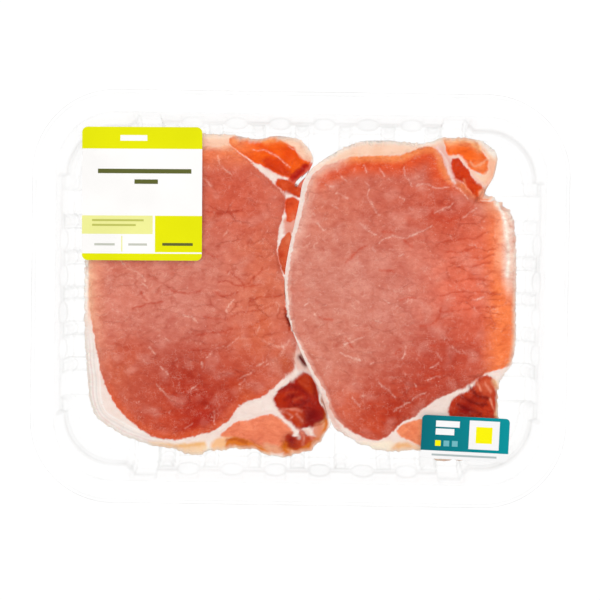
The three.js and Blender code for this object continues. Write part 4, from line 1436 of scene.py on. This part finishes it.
def paint_right_edges(canvas, eye):
    """Orange lean along the top and the east, a painted glow of light through the thin edges; pale lean
    along the west; and painted light over the thin fat outside, a pale band along the top and pale washes at
    the east rim.
    """
    east, north = canvas.places.T
    lean = 1 - canvas.fat
    # Painted light along the top: orange where light shines through the thin edge
    canvas.tint(seen(227, 84, 42), lean * smoothstep(eye, 9.0, 3.5) * smoothstep(north, 36, 45) * 0.95)
    canvas.tint(seen(250, 146, 86), lean * smoothstep(eye, 3.6, 0.6) * smoothstep(north, 34, 44) * 0.9)
    west = smoothstep(east, 20, 12)
    canvas.tint(seen(234, 170, 152),
                lean * smoothstep(eye, 5.0, 0.5) * smoothstep(north, 6, 22) * west * 0.85)
    canvas.tint(seen(234, 176, 160), lean * smoothstep(eye, 1.6, 0.1) * west * 0.75)
    # Painted light along the east: orange where light shines through the thin edge, pale at the rim where it
    # is washed out
    low_east = smoothstep(east, 64, 73) * smoothstep(north, 38, 30)
    canvas.tint(seen(249, 128, 72), lean * low_east * 0.95)
    canvas.tint(seen(249, 160, 124), lean * smoothstep(east, 68.5, 72) * smoothstep(north, 4, 16) * 0.9)
    canvas.tint(seen(250, 170, 126), lean * smoothstep(canvas.edge, 2.6, 0.6) * low_east)
    canvas.tint(seen(254, 224, 204), lean * smoothstep(canvas.edge, 1.2, 0.1) * low_east * 0.9)
    # Painted light from above: a pale band over the fat along the top, with soft lumps in it, paler still at
    # the rim
    upper = smoothstep(north, 44, 50) * smoothstep(east, 54, 46)
    canvas.tint(seen(251, 212, 186), canvas.fat * upper)
    lumps = smoothstep(noise_over(canvas.places, 5.0, 2.2), 0.0, 0.5)
    canvas.tint(seen(248, 198, 166), canvas.fat * upper * lumps * 0.6)
    canvas.tint(seen(252, 234, 220), smoothstep(canvas.edge, 2.2, 0.4) * upper * 0.9)
    # Painted highlight: a peach wash at the upper east and pale washes along the east rim
    upper_east = smoothstep(east, 62, 71) * smoothstep(north, 28, 36)
    canvas.tint(seen(243, 166, 128), lean * upper_east * 0.8)
    canvas.tint(seen(240, 188, 166),
                smoothstep(east, 73.5, 75) * smoothstep(north, -4, 12) * smoothstep(north, 34, 31))
    canvas.tint(seen(250, 214, 196),
                smoothstep(east, 71.5, 74.5) * smoothstep(north, 0, 12) * smoothstep(north, 36, 32) * 0.8)
    # The outer fat and a painted highlight along the east edge
    canvas.strokes(RIGHT_FAT_AND_HIGHLIGHT_STROKES)


def paint_right_threads(canvas, eye):
    """Threads of fat and dark cracks in the eye, and where the lean is marbled and folded."""
    for line in RIGHT_VEINS:
        canvas.vein(line, seen(248, 212, 196))
    for line in RIGHT_CRACKS:
        canvas.line(line, seen(200, 66, 40), 0.42, 0.55, 0.12)
    canvas.line(RIGHT_SINEW, seen(243, 208, 200), 0.5, 0.9)
    scattered_veins(canvas, eye, 210, 31, seen(244, 198, 180), 0.42)
    canvas.spread(canvas.marbled, RIGHT_MARBLED)
    canvas.folded += 0.25 * (1 - canvas.fat)
    canvas.spread(canvas.folded, RIGHT_FOLDED)


class PACK_OT_left_steak(bpy.types.Operator):
    """Make the left pork loin steak"""
    bl_idname = "tray_pack.left_steak"
    bl_label = "Left steak"

    def execute(self, context):
        shared = [(x - PARTED, y) for x, y in reversed(SHARED_EDGE)]
        steak = steak_piece("left_steak_meat", LEFT_FREE_EDGE + tuple(shared), LEFT_CENTRE, paint_left,
                            context.scene.steak_sizes, meat_material("raw pork, left", 0.5),
                            LEFT_TORN, SLIT)
        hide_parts("steak_left")
        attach(steak, "root")
        return {"FINISHED"}


class PACK_OT_right_steak(bpy.types.Operator):
    """Make the right pork loin steak"""
    bl_idname = "tray_pack.right_steak"
    bl_label = "Right steak"

    def execute(self, context):
        shared = [(x + PARTED, y) for x, y in SHARED_EDGE]
        steak = steak_piece("right_steak_meat", RIGHT_FREE_EDGE + tuple(shared), RIGHT_CENTRE, paint_right,
                            context.scene.steak_sizes, meat_material("raw pork, right", 0.3), RIGHT_TORN)
        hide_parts("steak_right")
        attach(steak, "root")
        return {"FINISHED"}


# Stickers: each field's left, bottom, right and top in millimetres from the lower left corner, and colour
PRICE_PLACE = (-56.2, 36.5, 42.4, 47.1, 2.0, 0.5)
PRICE_FIELDS = (
    (0.0, 39.4, 42.4, 47.1, "yellow"), (0.0, 9.3, 25.0, 15.8, "pale"), (25.8, 2.9, 42.4, 15.8, "yellow"),
    (0.0, 0.0, 42.4, 2.4, "yellow"), (13.9, 3.1, 14.3, 8.6, "pale"),
    (5.6, 30.7, 38.6, 32.3, "olive"), (18.5, 27.0, 26.8, 28.6, "olive"), (13.5, 42.2, 23.0, 44.2, "white"),
    (3.6, 13.8, 21.8, 14.5, "dull"), (3.6, 12.1, 19.0, 12.8, "dull"), (4.4, 5.2, 11.6, 6.0, "grey"),
    (16.4, 5.2, 23.0, 6.0, "grey"), (28.4, 5.2, 39.2, 6.2, "olive"),
)
INFO_PLACE = (59.3, -48.5, 31.1, 15.4, 1.5, -2.1)
INFO_FIELDS = (
    (0.0, 2.9, 31.1, 15.4, "teal"), (5.0, 11.4, 13.4, 13.6, "white"), (5.0, 8.6, 11.6, 10.8, "white"),
    (5.0, 4.6, 7.0, 6.6, "yellow"), (8.0, 4.6, 10.0, 6.6, "haze"), (11.0, 4.6, 13.0, 6.6, "haze"),
    (16.9, 4.0, 27.6, 14.2, "white"), (19.3, 6.2, 25.1, 12.0, "yellow"), (4.0, 1.1, 27.0, 1.8, "dull"),
)


def sticker_piece(name, node, place, fields, colours, thickness):
    """A sticker cut into fields of flat colour, one material a colour, on a ground in the first colour."""
    x, y, width, height, corner, turn = place
    bm = bmesh.new()
    ring_of(bm, rounded_rectangle(width, height, corner, 8))
    bmesh.ops.contextual_create(bm, geom=bm.edges[:])
    corner_of = Vector((width / 2, height / 2, 0))
    for left, bottom, right, top, _ in fields:
        box = (left - 0.01, bottom - 0.01, right + 0.01, top + 0.01)
        for side, normal in ((left, (1, 0, 0)), (right, (1, 0, 0)), (bottom, (0, 1, 0)), (top, (0, 1, 0))):
            along_x = normal[0] == 1
            if side <= 0 or side >= (width if along_x else height):
                continue
            touched = [face for face in bm.faces if touches(face, box, corner_of)]
            rims = {edge for face in touched for edge in face.edges}
            corners = {vertex for face in touched for vertex in face.verts}
            geometry = [*touched, *rims, *corners]
            cut = Vector((side, 0, 0) if along_x else (0, side, 0)) - corner_of
            bmesh.ops.bisect_plane(bm, geom=geometry, dist=1e-4, plane_co=cut, plane_no=normal)
    names = list(colours)
    for face in bm.faces:
        middle = face.calc_center_median() + corner_of
        face.material_index = 0
        for left, bottom, right, top, colour in fields:
            if left < middle.x < right and bottom < middle.y < top:
                face.material_index = names.index(colour)
    bmesh.ops.recalc_face_normals(bm, faces=bm.faces)
    if bm.faces[0].normal.z < 0:
        bmesh.ops.reverse_faces(bm, faces=bm.faces)
    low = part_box(node)[0][2] / MM
    lay = Matrix.Translation((x, y, low)) @ Matrix.Rotation(math.radians(turn), 4, "Z")
    bmesh.ops.transform(bm, matrix=lay, verts=bm.verts)
    materials = [paper_material(f"{name} {label}", *tones) for label, tones in colours.items()]
    sticker = finished(name, bm, materials, smooth=False)
    wall = sticker.modifiers.new("paper", "SOLIDIFY")
    wall.thickness = thickness * MM
    wall.offset = 1
    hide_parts(node)
    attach(sticker, "root")
    return sticker


def touches(face, box, corner_of):
    places = [vertex.co + corner_of for vertex in face.verts]
    left, bottom, right, top = box
    return (min(p.x for p in places) < right and max(p.x for p in places) > left
            and min(p.y for p in places) < top and max(p.y for p in places) > bottom)


class PACK_OT_price_sticker(bpy.types.Operator):
    """Make the large price sticker, with plain fields and bars"""
    bl_idname = "tray_pack.price_sticker"
    bl_label = "Price sticker"

    def execute(self, context):
        sizes = context.scene.sticker_sizes
        colours = {
            "white": [seen(250, 248, 246)], "yellow": [sizes.price_colour], "pale": [seen(237, 237, 151)],
            "olive": [seen(96, 100, 52)], "dull": [seen(190, 192, 96)], "grey": [seen(196, 198, 186)],
        }
        sticker = sticker_piece("price_sticker_paper", "price_label", PRICE_PLACE, PRICE_FIELDS, colours,
                                sizes.thickness)
        return {"FINISHED"}


class PACK_OT_info_sticker(bpy.types.Operator):
    """Make the small teal sticker, with plain fields and squares"""
    bl_idname = "tray_pack.info_sticker"
    bl_label = "Info sticker"

    def execute(self, context):
        sizes = context.scene.sticker_sizes
        colours = {
            # The teal turns lighter to the east: a painted sheen
            "white": [seen(244, 243, 243)], "teal": [sizes.info_colour, seen(2, 146, 154)],
            "yellow": [seen(248, 240, 6)], "haze": [seen(112, 182, 190)], "dull": [seen(176, 186, 186)],
        }
        sticker = sticker_piece("info_sticker_paper", "info_label", INFO_PLACE, INFO_FIELDS, colours,
                                sizes.thickness)
        return {"FINISHED"}


def area_lamp(name, place, target, size, power):
    lamp = bpy.data.lights.new(name, "AREA")
    lamp.shape = "DISK"
    lamp.size = size
    lamp.energy = power
    holder = bpy.data.objects.new(name, lamp)
    bpy.context.collection.objects.link(holder)
    holder.location = place
    holder.rotation_euler = (Vector(target) - Vector(place)).to_track_quat("-Z", "Y").to_euler()
    return holder


class PACK_OT_stage(bpy.types.Operator):
    """Make the pale floor, the soft light and the camera"""
    bl_idname = "tray_pack.stage"
    bl_label = "Stage"

    def execute(self, context):
        sizes = context.scene.stage_sizes
        self.make_floor(sizes)
        self.make_light(context.scene, sizes)
        self.make_camera(context.scene)
        return {"FINISHED"}

    @staticmethod
    def make_floor(sizes):
        bm = bmesh.new()
        bmesh.ops.create_grid(bm, x_segments=1, y_segments=1, size=FLOOR_HALF)
        bmesh.ops.translate(bm, verts=bm.verts, vec=(0, 0, -FLOOR_DROP))
        material, tree, shader = new_material("pale floor")
        shader.inputs["Base Color"].default_value = (0.12, 0.12, 0.12, 1)
        shader.inputs["Roughness"].default_value = 0.9
        shader.inputs["Emission Color"].default_value = (1, 1, 1, 1)
        shader.inputs["Emission Strength"].default_value = sizes.floor_glow
        finished("floor", bm, [material])

    @staticmethod
    def make_light(scene, sizes):
        world = bpy.data.worlds.new("studio")
        world.use_nodes = True
        back = world.node_tree.nodes["Background"]
        back.inputs["Color"].default_value = (1, 1, 1, 1)
        back.inputs["Strength"].default_value = sizes.daylight
        scene.world = world
        lens = Vector((0, CAMERA_NORTH, TRAY_HIGH.z + CAMERA_HEIGHT)) * MM
        overhead = area_lamp("overhead", lens, (0, 0, 0), OVERHEAD_SIZE, sizes.overhead)
        overhead.visible_glossy = False
        for i in range(4):
            angle = math.radians(45 + 90 * i)
            place = (LAMP_RING * math.cos(angle), LAMP_RING * math.sin(angle), LAMP_HEIGHT)
            area_lamp(f"lamp {i + 1}", place, (0, 0, 0), LAMP_SIZE, sizes.lamp)
        scene.view_settings.view_transform = "Standard"
        scene.cycles.transparent_max_bounces = 32

    @staticmethod
    def make_camera(scene):
        camera = bpy.data.cameras.new("camera")
        camera.sensor_width = SENSOR
        distance = math.hypot(CAMERA_HEIGHT, CAMERA_NORTH)
        camera.lens = SENSOR * distance / (PHOTO_SIDE * PIXEL)
        holder = bpy.data.objects.new("camera", camera)
        bpy.context.collection.objects.link(holder)
        middle = from_photo(PHOTO_SIDE / 2, PHOTO_SIDE / 2, 0)
        target = Vector((middle[0], middle[1], TRAY_HIGH.z)) * MM
        place = Vector((0, CAMERA_NORTH, TRAY_HIGH.z + CAMERA_HEIGHT)) * MM
        look = (target - place).to_track_quat("-Z", "Y").to_matrix()
        right = look @ Vector((1, 0, 0))
        upright = math.atan2(right.y, right.x)
        holder.matrix_world = (Matrix.Translation(place) @ look.to_4x4()
                               @ Matrix.Rotation(PHOTO_TURN - upright, 4, "Z"))
        scene.camera = holder


class PACK_PT_pieces(bpy.types.Panel):
    """Lists the pieces of the pack"""
    bl_idname = "PACK_PT_pieces"
    bl_label = "Tray pack"
    bl_space_type = "VIEW_3D"
    bl_region_type = "UI"
    bl_category = "Tray pack"

    def draw(self, context):
        for piece in PIECES:
            self.layout.operator(piece.bl_idname)


PIECES = (PACK_OT_stage, PACK_OT_tray, PACK_OT_left_steak, PACK_OT_right_steak, PACK_OT_film,
          PACK_OT_price_sticker, PACK_OT_info_sticker)
SETTINGS = {"tray_sizes": TraySizes, "steak_sizes": SteakSizes, "sticker_sizes": StickerSizes,
            "stage_sizes": StageSizes}


def register():
    for kind in (*SETTINGS.values(), *PIECES, PACK_PT_pieces):
        bpy.utils.register_class(kind)
    for name, kind in SETTINGS.items():
        setattr(bpy.types.Scene, name, PointerProperty(type=kind))


def unregister():
    for name in SETTINGS:
        delattr(bpy.types.Scene, name)
    for kind in (PACK_PT_pieces, *reversed(PIECES), *reversed(SETTINGS.values())):
        bpy.utils.unregister_class(kind)


def main():
    register()
    bpy.ops.tray_pack.stage()
    bpy.ops.tray_pack.tray()
    bpy.ops.tray_pack.left_steak()
    bpy.ops.tray_pack.right_steak()
    bpy.ops.tray_pack.film()
    bpy.ops.tray_pack.price_sticker()
    bpy.ops.tray_pack.info_sticker()


if __name__ == "__main__":
    main()
